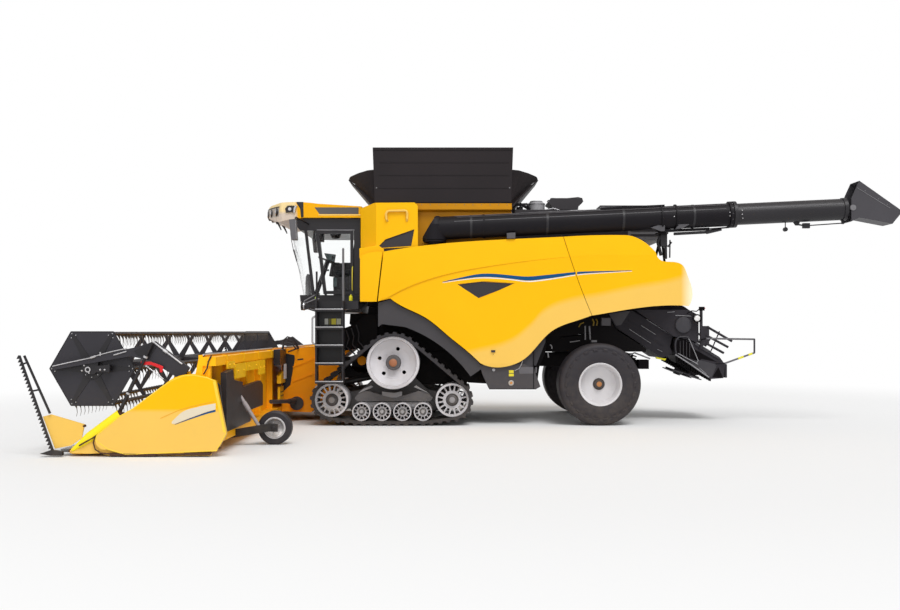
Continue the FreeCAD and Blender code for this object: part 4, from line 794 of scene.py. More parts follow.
# ------------------------------------------------------------------ grain tank covers
# Black moulded covers folded up round the top of the tank, with rubberised cloth gussets hung
# between them at the corners, each a fan of cloth that sags a little from edge to edge.
cover_plastic = finish("tank_cover_plastic", (0.0135, 0.0095, 0.011), 0.45, dust=0.05, mottle=0.14,
    gloss=0.22, peel=(420.0, 0.0005, 0.5))
edge_metal = finish("edge_metal", (0.16, 0.155, 0.165), 0.4, clean=1.2, gloss=0.4)
coat_node(cover_plastic, "left_tank_flap", "right_tank_flap", "front_tank_flap", "rear_tank_flap")
gusset_cloth = finish("gusset_cloth", (0.02, 0.016, 0.017), 0.8, dust=0.08, mottle=0.2, gloss=0.15,
    peel=(800.0, 0.0012, 0.8))


def gusset(name, x, out, side):
    """A fan of cloth from its foot F to the edge E(u).

    P(u, v) = F + v (E(u) - F) + n (0.03 sin(pi u) sin(pi v)^0.8 + 0.005 sin(3 pi u) v), n square to the fan.
    The two faces stand 3 mm apart along n. It returns the cloth, its area and its flat width and length.
    """
    corner = np.array([(-0.02, 1.262, 4.0), (-0.02, 1.285, 4.575), (0.125, 1.16, 4.58), (0.32, 0.88, 4.572),
        (0.5, 0.5, 4.56), (0.535, 0.4, 4.53)])
    corner = np.stack([x + out * corner[:, 0], side * corner[:, 1], corner[:, 2]], -1)
    foot, edge = corner[0], corner[1:]
    u, v = np.linspace(0, 1, 33)[:, None, None], np.linspace(0.03, 1, 25)[None, :, None]
    along_edge = np.stack([np.interp(u[:, 0, 0], [0, 0.25, 0.55, 0.9, 1], edge[:, k]) for k in range(3)],
        -1)[:, None, :]
    lean = np.cross(edge[2] - foot, edge[-1] - edge[0])
    lean /= np.linalg.norm(lean)
    lean = lean if lean[2] < 0 else -lean
    middle = foot + v * (along_edge - foot) + lean * (0.03 * np.sin(np.pi * u) * np.sin(np.pi * v) ** 0.8
        + 0.005 * np.sin(3 * np.pi * u) * v)
    area = 0.5 * sum((np.linalg.norm(np.cross(a - foot, b - foot)) for a, b in zip(edge[:-1], edge[1:])))
    width, length = np.linalg.norm(edge[0] - foot), np.linalg.norm(edge[-1] - foot)
    faces = np.concatenate([middle + 0.0015 * lean, (middle - 0.0015 * lean)[:, ::-1]], axis=1)
    return (solid(name, [net(faces)]), float(area), (float(width), float(length)))


for end, x, out in (("front", 2.495, 1), ("rear", 0.005, -1)):
    for side, word in SIDES:
        cloth, area, (width, length) = gusset(f"{end}_{word}_gusset", x, out, side)
        fit(cloth, "chassis", gusset_cloth)
        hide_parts("tank_gussets")
        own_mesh(cloth)

# Seal strips under the side leaves, close bolts along the rim, and the latch bolt at each corner.
add("tank_seal_strips", both([box((0.0, 1.2, 3.95), (2.49, 1.285, 3.966))]), cover_plastic)
add("tank_rim_bolts", both(bolts([(x, 0, 3.935) for x in np.linspace(0.1, 2.4, 16)], "y", 1.326, 0.01,
    0.008)), edge_metal)
for side, word in SIDES:
    latches = bolts([(0.055, 0, 4.239), (2.445, 0, 4.239)], "y", side * 1.329, side * 0.01, 0.014)
    add(f"{word}_cover_latches", latches, edge_metal, f"{word}_flap")

# ------------------------------------------------------------------ unloading auger
AUGER_Y = 1.45
auger_black = finish("auger_black", (0.0165, 0.015, 0.018), 0.42, mottle=0.08, gloss=0.34,
    peel=(350.0, 0.0002, 0.2))
coat_node(auger_black, "auger_outer")
# The inner tube and its boot take a darker copy of the auger's black, painted shade.
tube_black = finish("auger_tube_black", (0.0075, 0.0062, 0.0085), 0.5, dust=0.08, mottle=0.08, gloss=0.16,
    peel=(350.0, 0.0002, 0.2))
coat_node(tube_black, "auger_tube", "auger_boot")
coat_node(finish("spout_slate", (0.052, 0.049, 0.056), 0.5, dust=0.12, clean=1.2), "auger_spout")


def axis_at(x):
    """Height of the auger's centre line above the ground."""
    return 3.496 + (1.4 - x) * 0.0468


lamp_white = finish("bolt_bright", (0.55, 0.54, 0.55), 0.3, dust=0.05, mottle=0.05)
# Collar lug, bolts on the joint flanges, straps along the tube and the hose that runs beside it.
add("auger_lug", [
    plate([(0.123, 3.4), (-0.031, 3.408), (-0.031, 3.304), (0.118, 3.3)], 1.562, 1.64)
], finish("lug_grey", (0.085, 0.08, 0.085), 0.5, mottle=0.12, clean=1.2), "unloader",
    bevel=0.006)
for name, body, x, radius in (("inner", "unloader", -3.868, 0.226),
        ("outer", "unloader_end", -3.925, 0.222)):
    ring_places = [(radius * math.cos(a), radius * math.sin(a)) for a in np.linspace(0, 2 * math.pi, 14,
        endpoint=False)]
    heads = bolts([(0, AUGER_Y + c, axis_at(x) + s) for c, s in ring_places], "x", x - 0.008, 0.016, 0.011)
    add(f"auger_flange_bolts_{name}", heads, edge_metal, body)
straps = []
for x in (0.75, -0.6, -1.95, -3.2):
    c = (0, AUGER_Y, axis_at(x))
    straps += [
        lathe([(x - 0.02, 0.206), (x - 0.02, 0.21), (x + 0.02, 0.21), (x + 0.02, 0.206), (x - 0.02, 0.206)],
            c, "x", 40, ends=False)
    ]
add("auger_straps", straps, auger_black, "unloader")
add("auger_pipe", [
    pipe([(x, AUGER_Y + 0.205 * 0.62, axis_at(x) + 0.205 * 0.8) for x in np.linspace(1.0, -3.78, 13)],
        0.011)
], moulded, "unloader")

# Painted highlight lines along the tube's flank, side bolts, the folding cylinder's sleeve, saddle brackets,
# posts under its rest, and the spout's folded edge and hinge discs.
for name, body, x0, x1, radius in (("inner", "unloader", 1.05, -3.76, 0.206),
        ("outer", "unloader_end", -4.06, -5.84, 0.191)):
    xs = np.linspace(x0, x1, 9)
    flank_highlights = [pipe([(x, AUGER_Y + radius * math.cos(a), axis_at(x) + radius * math.sin(a)) for x in xs],
        0.0045, 6) for a in (0.46, 1.25)]
    add(f"auger_highlight_lines_{name}", flank_highlights, edge_metal, body)
inner_heads = bolts([(-3.817, 0, 3.762), (-3.817, 0, 3.7), (-2.645, 0, 3.67), (-2.833, 0, 3.687)], "y",
    1.65, 0.012, 0.01)
outer_heads = bolts([(-4.039, 0, 3.73), (-4.039, 0, 3.8), (-4.05, 0, 3.66)], "y", 1.632, 0.012, 0.01)
add("auger_side_bolts_inner", inner_heads, lamp_white, "unloader")
add("auger_side_bolts_outer", outer_heads, lamp_white, "unloader_end")
add("auger_saddle_brackets", [
    plate([(-3.124, 3.56), (-2.919, 3.56), (-2.868, 3.47), (-3.0, 3.49)], 1.5, 1.6),
    plate([(-2.43, 3.5), (-2.56, 3.54), (-2.68, 3.54), (-2.68, 3.44), (-2.62, 3.43)], 1.5, 1.6)
], finish("saddle_grey_cast", (0.085, 0.082, 0.09), 0.45, mottle=0.15), "unloader",
    bevel=0.005)
add("fold_cylinder_sleeve", [
    rod(AUGER_Y, [(-2.87, 3.4), (-3.47, 3.432)], 0.026, 12),
    rod(AUGER_Y, [(-3.45, 3.43), (-3.56, 3.45), (-3.72, 3.478)], [0.036, 0.03, 0.02], 12)
], auger_black, "unloader")
add("auger_rest_posts", [
    pipe([(-2.663, 1.38, 3.42), (-2.6, 1.38, 3.25), (-2.66, 1.36, 3.02)], 0.03, 10),
    pipe([(-2.816, 1.38, 3.3), (-2.816, 1.36, 2.98)], 0.014),
    pipe([(-2.735, 1.38, 3.4), (-2.745, 1.36, 2.96)], 0.026, 10),
    box((-2.76, 1.33, 3.18), (-2.64, 1.42, 3.4)),
    rod(1.4, [(-2.84, 3.26), (-2.78, 3.18), (-2.72, 3.22)], 0.018)
], auger_black, bevel=0.004)
edges = [rod(1.662, [(-6.06, 4.195), (-6.64, 3.835)], 0.006, 6)] + bolts([(-6.436, 0, 4.0), (-6.2, 0, 4.14),
    (-6.59, 0, 3.9)], "y", 1.656, 0.01, 0.01)
edges += [lathe([(1.655, 0.055), (1.672, 0.05), (1.674, 0.001)], (-5.99, 0, 3.845), steps=24)]
add("spout_folds", edges, edge_metal, "spout")
# ------------------------------------------------------------------ cab
# Black frame and door, almost clear glass, a yellow roof with a dark side insert and a row of work
# lamps round its nose, mirrors, the operator's screens and console, and a wiper.
coat_node(black_paint, "cab_floor", "cab_frame", "cab_door", "ladder")
coat_node(moulded, "seat_base", "steering_column")
glass = skin_of("tinted_glass", lambda tree: {"Base Color": (0.985, 0.994, 0.993, 1),
    "Transmission Weight": 1.0, "Roughness": 0.01, "IOR": 1.12})
coat_node(glass, "cab_glass", "door_glass")
# The roof's yellow is a darker, oranger copy of the body's, painted shade on its side. Its nose is painted
# pale, and greyish cream lower down, as a painted reflection.
roof_yellow = finish("roof_yellow", (0.84, 0.4, 0.002), 0.32, **PAINTED)
tree = roof_yellow.node_tree
front = ranged(tree, along(tree, "X"), 3.9, 3.96)
overlay(roof_yellow, front, (0.88, 0.68, 0.34))
overlay(roof_yellow, sum_of(tree, "MULTIPLY", front, ranged(tree, along(tree, "Z"), 3.8, 3.86, 1.0, 0.0)),
    (0.64, 0.54, 0.45))
coat_node(roof_yellow, "cab_roof")

NOSE_CENTRE, NOSE_RADIUS = 3.073, 1.537
LAMP_HEIGHT = 3.845
STEP_LAMP = (0, 1.275, 2.115)
NOSE_SLOPE = [(3.74, 4.42), (3.81, 4.56), (3.89, 4.6), (3.955, 4.52)]
lamp_black = finish("lamp_black", (0.02, 0.018, 0.02), 0.35, dust=0.05)
lamp_chrome = finish("lamp_chrome", (0.55, 0.54, 0.56), 0.18, dust=0.05, mottle=0.15, metal=0.6, gloss=0.5)
lamp_lens = finish("lamp_lens", (0.86, 0.85, 0.84), 0.08, dust=0.03, mottle=0.08, gloss=0.6)
lamp_beige = finish("lamp_beige", (0.4, 0.35, 0.3), 0.25, dust=0.05, mottle=0.15, gloss=0.5)
edge_grey = finish("edge_grey", (0.22, 0.215, 0.23), 0.4, dust=0.12, clean=1.5)


def nose(y, z, out=0.0):
    """How far forward the roof's nose stands: the nearer of its bow in plan and its side outline."""
    bow = NOSE_CENTRE + np.sqrt((NOSE_RADIUS + out) ** 2 - y ** 2)
    return np.minimum(bow, np.interp(z, *np.array(NOSE_SLOPE).T) + out)


y, z = np.linspace(-0.99, 0.99, 67)[:, None], np.array([3.765, 3.8, 3.86, 3.9, 3.925])[None, :]
face = np.stack(np.broadcast_arrays(nose(y, z, 0.003), y, z), -1)
back = np.stack(np.broadcast_arrays(nose(y, z, -0.02), y, z), -1)[:, ::-1]
brow_y, brow_z = np.linspace(-1.0, 1.0, 67)[:, None], np.array([3.926, 3.944])[None, :]
brow = np.concatenate([np.stack(np.broadcast_arrays(nose(brow_y, brow_z, 0.006), brow_y, brow_z), -1),
    np.stack(np.broadcast_arrays(nose(brow_y, brow_z, -0.02), brow_y, brow_z), -1)[:, ::-1]], axis=1)
add("roof_lamp_band", [net(np.concatenate([face, back], axis=1))], lamp_beige)
add("roof_brow", [net(brow)], lamp_black)
rims, lenses, sockets = [], [], []
for place in (0.17, 0.45, 0.7, 0.9):
    for side in (-1, 1):
        y = side * place
        x = float(nose(np.array(y), np.array(LAMP_HEIGHT)))
        rim = [(x - 0.05, 0.052), (x - 0.006, 0.066), (x + 0.008, 0.064), (x + 0.008, 0.054),
            (x - 0.006, 0.05), (x - 0.006, 0.001)]
        sockets += [
            lathe([(x - 0.06, 0.07), (x - 0.012, 0.08), (x - 0.004, 0.08), (x - 0.004, 0.06)],
                (0, y, LAMP_HEIGHT), "x", 28)
        ]
        rims += [lathe(rim, (0, y, LAMP_HEIGHT), "x", 28)]
        lenses += [
            lathe([(x - 0.005, 0.051), (x + 0.002, 0.044), (x + 0.008, 0.026), (x + 0.009, 0.001)],
                (0, y, LAMP_HEIGHT), "x", 28)
        ]
add("roof_lamp_rims", rims, lamp_chrome)
add("roof_lamp_sockets", sockets, lamp_black)
add("roof_lamp_lenses", lenses, lamp_lens)

# The dark side insert with its lip, painted lighter as a highlight, and the corner brackets with a painted
# highlight bar and a chrome disc.
add("roof_side_inserts", both([
    plate([(2.795, 3.8), (3.505, 3.8), (3.595, 3.922), (2.795, 3.922)], 1.02, 1.0475)
]), finish("insert_grey", (0.095, 0.088, 0.085), 0.4, mottle=0.12, clean=1.2))
lip_highlight_yellow = finish("lip_highlight_yellow", (0.9, 0.6, 0.16), 0.3, **PAINTED)
add("roof_side_lips", both([
    plate([(2.76, 3.774), (3.515, 3.774), (3.53, 3.796), (2.76, 3.796)], 1.04, 1.049)
]), lip_highlight_yellow)
add("roof_corner_brackets", both([
    plate([(3.795, 3.745), (3.84, 3.735), (3.86, 3.9), (3.925, 4.0), (3.925, 4.022), (3.8, 4.022)], 1.03,
        1.05),
    plate([(3.96, 3.835), (4.115, 3.825), (4.13, 3.9), (4.08, 3.952), (3.965, 3.952)], 1.02, 1.072),
    rod(0.35, [(4.4, 3.735), (4.365, 3.68), (4.315, 3.575)], [0.022, 0.018, 0.01], 10)
]), lamp_black, bevel=0.004)
# Painted highlight bar down each front corner bracket, and a chrome disc on the lamp housing.
add("roof_corner_highlights_and_chrome", both([
    pipe([(3.925, 1.058, 3.955), (3.955, 1.062, 3.9), (3.965, 1.062, 3.82)], [0.018, 0.026, 0.02], 12),
    lathe([(1.07, 0.03), (1.078, 0.03), (1.078, 0.001)], (4.045, 0, 3.89), steps=20)
]), lamp_chrome)

# Mirror shells with their glass, bright lines along the frame's edges that are painted highlights, the step
# lamp, reflectors and the wiper.
lines = both([
    rod(1.0, [(2.87, 3.512), (3.56, 3.512)], 0.009),
    rod(1.002, [(2.76, 2.036), (3.55, 2.036), (3.78, 2.1), (3.85, 2.21)], 0.007)
])
lines += [
    rod(1.325, [(3.735, 2.165), (3.745, 2.205), (3.553, 2.315)], 0.009),
    rod(1.33, [(3.735, 2.16), (3.535, 2.245), (3.47, 2.245)], 0.009)
]
shell_grey = finish("mirror_shell", (0.105, 0.102, 0.11), 0.42, dust=0.08)
add("mirror_shells", both([
    plate([(3.846, 3.286), (3.938, 3.286), (3.978, 3.642), (3.867, 3.654)], 1.397, 1.603)
]), shell_grey, bevel=0.003)
add("mirror_glass", both([
    plate([(3.842, 3.3), (3.846, 3.3), (3.866, 3.64), (3.862, 3.64)], 1.412, 1.588)
]), lamp_chrome)
add("cab_bright_lines", lines, edge_grey)

add("step_lamp_housing", [
    lathe([(3.64, 0.04), (3.72, 0.066), (3.79, 0.076), (3.806, 0.074), (3.806, 0.064), (3.794, 0.06),
        (3.794, 0.001)], STEP_LAMP, "x", 28)
], lamp_black)
add("step_lamp_face", [
    lathe([(3.795, 0.061), (3.806, 0.054), (3.814, 0.03), (3.816, 0.001)], STEP_LAMP, "x", 28),
    lathe([(3.744, 0.073), (3.744, 0.078), (3.762, 0.08), (3.762, 0.075), (3.744, 0.073)], STEP_LAMP, "x",
        28, ends=False)
], lamp_chrome)
signal_green = finish("signal_green", (0.42, 0.55, 0.08), 0.3, dust=0.03, mottle=0.05)
add("side_reflectors", bolts([(3.53, 0, 2.263)], "y", 1.325, 0.016, 0.022, 16), signal_green)

wipe_y, at = np.array([0.02, 0.15, 0.3, 0.45, 0.58]), np.array([3.55, 3.4, 3.2, 2.98, 2.76])
screen = 3.925 + (at - 2.335) / 1.17 * 0.225 - wipe_y ** 2 * 0.33 + 0.022
arm = tube(np.stack([screen + 0.01, wipe_y, at], -1)[:4], 0.006, 8)
blade = tube(np.stack([screen - 0.004, wipe_y + 0.045, at - 0.02], -1)[1:], 0.005, 6)
add("wiper", [net(arm), net(blade)], edge_grey)
add("wiper_joint", [
    pipe(np.stack([screen + 0.004, wipe_y, at], -1)[2:4], [0.016, 0.009], 10)
], lamp_black)

# Screens, armrest, grip and what hangs from the head rail inside.
add("cab_fittings", [
    plate([(3.895, 2.338), (3.885, 2.7), (3.85, 2.76), (3.8, 2.74), (3.79, 2.338)], -0.16, 0.16),
    plate([(2.835, 2.9), (3.06, 2.9), (2.985, 3.1), (2.835, 3.24)], -0.6, -0.45),
    box((3.5, 0.34, 3.346), (3.69, 0.52, 3.506)),
    box((3.3, -0.9, 2.345), (3.45, -0.7, 2.74)),
    lathe([(3.506, 0.105), (3.47, 0.102), (3.425, 0.078), (3.405, 0.045), (3.402, 0.001)], (3.28, 0.42, 0),
        "z", 28)
], moulded, bevel=0.012)
add("operator_screens", [
    plate([(3.6, 3.2), (3.37, 3.17), (3.4, 3.0), (3.52, 3.0)], -0.47, -0.43),
    plate([(3.5, 2.745), (3.345, 2.72), (3.24, 2.735), (3.225, 2.965), (3.3, 3.01), (3.45, 3.015)], -0.52,
        -0.38),
    rod(-0.45, [(3.44, 2.99), (3.42, 2.8)], 0.016, 10),
    rod(-0.44, [(3.4, 3.0), (3.425, 3.08), (3.43, 3.14)], [0.012, 0.015, 0.026], 12),
    pipe([(3.3, -0.38, 2.96), (3.18, -0.36, 2.97), (3.0, -0.36, 2.97)], [0.03, 0.038, 0.034], 14)
], moulded, bevel=0.008)
teal = finish("side_display", (0.1, 0.15, 0.155), 0.3, dust=0.02, gloss=0.5)
add("operator_displays", [
    plate([(3.452, 2.545), (3.456, 2.545), (3.456, 2.735), (3.452, 2.735)], -0.89, -0.71),
    plate([(3.31, 2.55), (3.44, 2.55), (3.44, 2.73), (3.31, 2.73)], -0.699, -0.695),
    plate([(3.585, 3.188), (3.385, 3.162), (3.412, 3.015), (3.512, 3.015)], -0.4295, -0.4265)
], teal)

# Yellow grab bar down the door's rear edge.
bar = tube([(2.9, 1.04, 2.84), (2.905, 1.052, 2.82), (2.908, 1.054, 2.6), (2.908, 1.054, 2.44),
    (2.904, 1.042, 2.41)], 0.01, 10)
add("door_grab", [
    net(bar)
], finish("door_grab_yellow", (0.7, 0.58, 0.05), 0.35, dust=0.06, mottle=0.06), "door")

# Fire bottle standing on the walkway behind the door.
bottle = [(2.201, 0.028), (2.206, 0.033), (2.285, 0.033), (2.303, 0.022), (2.309, 0.011), (2.326, 0.011),
    (2.328, 0.001)]
bottle_yellow = finish("bottle_yellow", (0.75, 0.68, 0.02), 0.35, dust=0.06, mottle=0.06)
add("fire_bottle", [lathe(bottle, (2.915, 1.24, 0), "z", 24)], bottle_yellow)

# Seat: padded cushion and back with piping and sewn channels, swelled from slightly smaller blocks.
seat_cloth = finish("seat_fabric", (0.022, 0.022, 0.026), 0.9, dust=0.03, mottle=0.25, gloss=0.1,
    peel=(900.0, 0.0015, 0.9))
piping = finish("seat_piping", (0.055, 0.055, 0.06), 0.7, dust=0.03, gloss=0.2)


def cushion(name, low, high, lean, cap):
    """A rounded block, remeshed and blown up by cloth pressure, no point moving further than cap.

    The start is a superellipsoid, |x|^5 + |y|^5 + |z|^5 = 1 stretched to the box, and lean shears it
    along x with height.
    """
    low, high = np.asarray(low, float), np.asarray(high, float)
    polar, turn = (np.linspace(0.02, math.pi - 0.02, 25)[:, None],
        np.linspace(0, 2 * math.pi, 48, endpoint=False)[None, :])
    ball = np.stack(np.broadcast_arrays(np.sin(polar) * np.cos(turn), np.sin(polar) * np.sin(turn),
        np.cos(polar)), -1)
    ball /= (np.abs(ball) ** 5).sum(axis=-1, keepdims=True) ** 0.2
    points = (low + high) / 2 + ball * (high - low) / 2
    points[..., 0] += lean * (points[..., 2] - low[2])
    pad = solid(name, [net(points)])
    even = pad.modifiers.new("even", "REMESH")
    even.mode = "VOXEL"
    even.voxel_size = 0.006
    bake(pad)
    rest = places_of(pad)
    blow = pad.modifiers.new("blow", "CLOTH")
    blow.settings.use_pressure = True
    blow.settings.uniform_pressure_force = 4
    blow.settings.effector_weights.gravity = 0
    for step in range(1, 21):
        scene.frame_set(step)
    bake(pad)
    scene.frame_set(1)
    moved = places_of(pad) - rest
    length = np.linalg.norm(moved, axis=1, keepdims=True)
    placed = rest + moved * np.minimum(1, cap / np.maximum(length, 1e-09))
    pad.data.vertices.foreach_set("co", placed.ravel())
    pad.data.update()
    pad.data.shade_smooth()
    return pad


def bake(piece):
    """Turns the piece's modifiers into its mesh."""
    made = bpy.data.meshes.new_from_object(piece.evaluated_get(bpy.context.evaluated_depsgraph_get()))
    piece.modifiers.clear()
    piece.data = made


def places_of(piece):
    """The corners of a mesh as an array."""
    flat = np.empty(len(piece.data.vertices) * 3)
    piece.data.vertices.foreach_get("co", flat)
    return flat.reshape(-1, 3)


def on_surface(piece, starts, heading, sink):
    """Where rays from the starts first meet the piece, pushed in by sink along the ray."""
    found = []
    for start in starts:
        hit, spot, _, _ = piece.ray_cast(start, heading)
        if hit:
            found.append(np.array(spot) + sink * np.array(heading))
    return np.array(found)


cushion_pad = cushion("seat_cushion_pad", (2.945, -0.25, 2.715), (3.318, 0.25, 2.83), 0.0, 0.009)
back_pad = cushion("seat_back_pad", (2.888, -0.23, 2.862), (2.988, 0.23, 3.408), -0.075, 0.009)
for pad, stand_in in ((cushion_pad, "seat_cushion"), (back_pad, "seat_back")):
    fit(pad, "chassis", seat_cloth)
    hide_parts(stand_in)
bpy.context.view_layer.update()
seams = []
for share in (-0.33, 0.33):
    starts = [(x, 0.5 * share, 3.2) for x in np.linspace(2.97, 3.29, 24)]
    seams += [pipe(on_surface(cushion_pad, starts, (0, 0, -1), 0.001), 0.003, 6)]
    starts = [(3.4, 0.46 * share, z) for z in np.linspace(2.9, 3.37, 24)]
    seams += [pipe(on_surface(back_pad, starts, (-1, 0, 0), 0.001), 0.003, 6)]
add("seat_seams", seams, piping)

# ------------------------------------------------------------------ ladder
# Silver nosings on the treads with raised grips, grey hand rails, a bright grab loop, and blank
# coloured plates on the riser.
nosing, grips = [], []
for z in (0.8, 1.12, 1.43, 1.74, 2.05):
    nosing += [box((2.968, 2.05, z - 0.014), (3.452, 2.079, z + 0.004))]
    places = [(x, y, 0) for x in np.linspace(3.0, 3.42, 11) for y in (1.83, 1.9, 1.97)]
    grips += bolts(places, "z", z - 0.001, 0.006, 0.013)
nosing_silver = finish("nosing_silver", (0.42, 0.42, 0.44), 0.35, metal=0.4)
rail_grey = finish("rail_grey", (0.125, 0.122, 0.13), 0.38, dust=0.08)
add("step_nosings", nosing, nosing_silver, "steps", bevel=0.003)
add("step_grips", grips, black_paint, "steps")
add("step_rails", [
    rod(1.95, [(2.98, 2.185), (2.98, 3.092), (2.98, 3.108)], [0.0195, 0.0195, 0.01], 14)
], rail_grey, "steps")
add("step_grab_loop", [
    rod(2.03, [(3.452, 1.925), (3.49, 1.903), (3.505, 1.88), (3.505, 1.48), (3.49, 1.455), (3.452, 1.43)],
        0.0165, 10)
], nosing_silver, "steps")
for name, x0, x1, colour in (("a", 3.318, 3.258, (0.55, 0.55, 0.5)), ("b", 3.25, 3.206, (0.14, 0.13, 0.03)),
        ("c", 3.2, 3.12, (0.66, 0.56, 0.03)), ("d", 3.11, 3.035, (0.55, 0.55, 0.4))):
    plate_paint = finish(f"riser_plate_{name}", colour, 0.4, mottle=0.15, clean=1.5)
    add(f"riser_plate_{name}", [
        box((x1, 1.812, 1.782), (x0, 1.816, 1.884))
    ], plate_paint, "steps", bevel=0.001)
# ------------------------------------------------------------------ header frame and end shields
# Yellow sheet shields, painted pale on their lower part as a painted reflection, with a pale swoosh over a
# blue line, a darker orange crease line of painted shade, a rolled edge painted lighter as a highlight, a
# dark gap round the nose drawn in dark lines of painted shade, and skid plates below. Along the back stand
# the drive covers, the yellow tie plates and the hoses.
SHIELD_FACE = 6.26
BACK_FACE = 4.245
INTAKE = (5.06, 0.5)
STRUT_LINE = 4.83
SHIELD = [(4.09, 0.307), (4.212, 0.085), (5.407, 0.035), (5.649, 0.105), (5.811, 0.226), (5.791, 0.287),
    (5.468, 0.551), (5.325, 0.631), (4.921, 0.936), (4.8, 1.015), (4.648, 1.075), (4.5, 1.082),
    (4.333, 1.047), (4.232, 1.006), (4.09, 0.307)]
GAP = [(5.435, 0.592), (5.476, 0.545), (5.746, 0.318), (5.822, 0.27), (5.842, 0.188), (5.815, 0.1),
    (5.746, 0.054), (5.583, 0.036), (5.3, 0.026), (4.3, 0.04)]
NOSE_GAP = [(6.03, 0.15), (5.85, 0.255), (5.678, 0.364)]
SWOOSH = [(4.222, 0.614), (4.329, 0.586), (4.465, 0.54), (4.6, 0.492), (4.761, 0.431)]
CREASE = [(4.235, 0.735), (4.465, 0.687), (4.667, 0.633), (4.95, 0.512)]
SWOOSH_TOP = [(4.222, 0.712), (4.465, 0.662), (4.667, 0.592), (4.8, 0.47)]

header_yellow = finish("header_yellow", YELLOW, 0.3, **PAINTED)
tree = header_yellow.node_tree
# Painted reflection: the shields' lower part is painted pale.
overlay(header_yellow, ranged(tree, along(tree, "Z"), 0.59, 0.64, 1.0, 0.0), PALE)
coat_node(header_yellow, "header_ends")
cream = finish("cream_film", (0.7, 0.62, 0.47), 0.35, **PAINTED)
crease_shade_orange = finish("crease_shade_orange", (0.78, 0.36, 0.02), 0.35, **PAINTED)
lemon = finish("divider_yellow", (0.92, 0.74, 0.02), 0.32, **PAINTED)
edge_highlight_yellow = finish("edge_highlight_yellow", (0.92, 0.62, 0.06), 0.32, **PAINTED)
gap_brown = finish("gap_brown", (0.055, 0.018, 0.008), 0.6, mottle=0.2, clean=0.8)

for side, word in SIDES:
    x = np.linspace(4.222, 4.761, 30)
    mid, half = smooth(SWOOSH, x), np.linspace(0.014, 0.003, 30)
    add(f"{word}_shield_line", [
        film(x, mid - half, mid + half, side, SHIELD_FACE)
    ], stripe_blue, "header")
    x = np.linspace(4.222, 4.8, 30)
    foot = np.where(x < 4.761, smooth(SWOOSH, x) + np.interp(x, [4.222, 4.761], [0.018, 0.008]), 0.44)
    head = np.maximum(smooth(SWOOSH_TOP, x), foot + 0.002)
    add(f"{word}_shield_swoosh", [film(x, foot, head, side, SHIELD_FACE)], cream, "header")
    # The crease: a darker orange film of painted shade.
    x = np.linspace(4.235, 4.95, 30)
    add(f"{word}_shield_crease", [
        film(x, smooth(CREASE, x) - 0.005, smooth(CREASE, x) + 0.005, side, SHIELD_FACE)
    ], crease_shade_orange, "header")
    # Rolled edge and rear edge in a lighter yellow: painted highlight.
    add(f"{word}_shield_edge", [
        pipe([(a, side * (SHIELD_FACE - 0.006), b) for a, b in SHIELD], 0.009),
        rod(side * 6.252, [(4.112, 0.33), (4.248, 1.0)], 0.014)
    ], edge_highlight_yellow, "header")
    # Gap lines: dark tubes of painted shade; the skid plates, bolts and a boss share their brown.
    dark = [pipe([(a, side * (SHIELD_FACE - 0.012), b) for a, b in line], 0.01) for line in (GAP, NOSE_GAP)]
    dark += [
        *[plate([(x0, z0), (x1, z0), (x1 - 0.02, z0 + 0.032), (x0 + 0.02, z0 + 0.032)], side * 6.19,
            side * 6.262) for x0, x1, z0 in ((5.62, 5.44, 0.018), (5.41, 5.28, 0.014), (5.24, 5.02, 0.014),
            (4.62, 4.3, 0.028))],
        *bolts([(5.966, 0, 0.41), (5.71, 0, 0.185), (4.18, 0, 0.115)], "y", side * 6.2, side * 0.055, 0.018,
            12),
        rod(side * 6.192, [(5.497, 0.562), (5.48, 0.575)], 0.062, 24)
    ]
    add(f"{word}_shield_gap", dark, gap_brown, "header")
    skin = tube([(5.497, side * 6.192, 0.562), (5.9, side * 6.192, 0.262), (6.14, side * 6.192, 0.083)],
        [0.0695, 0.0695, 0.022], 32)
    add(f"{word}_divider_skin", [net(skin)], lemon, "header")

# The dark gearcase and drive covers on the back at both ends, the tie plates and the top edge.
tie_yellow = finish("tie_plate_yellow", (0.86, 0.5, 0.012), 0.35, mottle=0.08, clean=1.2, gloss=0.15)
galvanised = finish("galvanised", (0.5, 0.49, 0.5), 0.38, dust=0.12, mottle=0.16, clean=1.2, metal=0.35)
plates = [
    plate([(4.84, 1.03), (4.62, 1.05), (4.62, 1.13), (4.71, 1.11), (4.75, 1.18), (4.8, 1.18)], 5.98, 6.02)
]
for a, b, z0, z1 in ((2.62, 3.15, 0.96, 1.19), (3.2, 4.2, 1.06, 1.19), (4.28, 4.98, 0.98, 1.19),
        (5.05, 5.5, 1.14, 1.24)):
    plates += [
        plate([(a, z0), (b, z0), (b, z1), (a, z1)], 4.215, BACK_FACE, "x"),
        *bolts([(0, (a + b) / 2 + s * 0.3 * (b - a), (z0 + z1) / 2) for s in (-1, 1)], "x", 4.216, -0.016,
            0.018)
    ]
for a in (1.8, 3.0, 4.2, 5.4):
    rib = [(BACK_FACE, 1.2), (4.32, 1.335), (BACK_FACE, 1.335)]
    plates += [plate(rib, a, a + 0.03)]

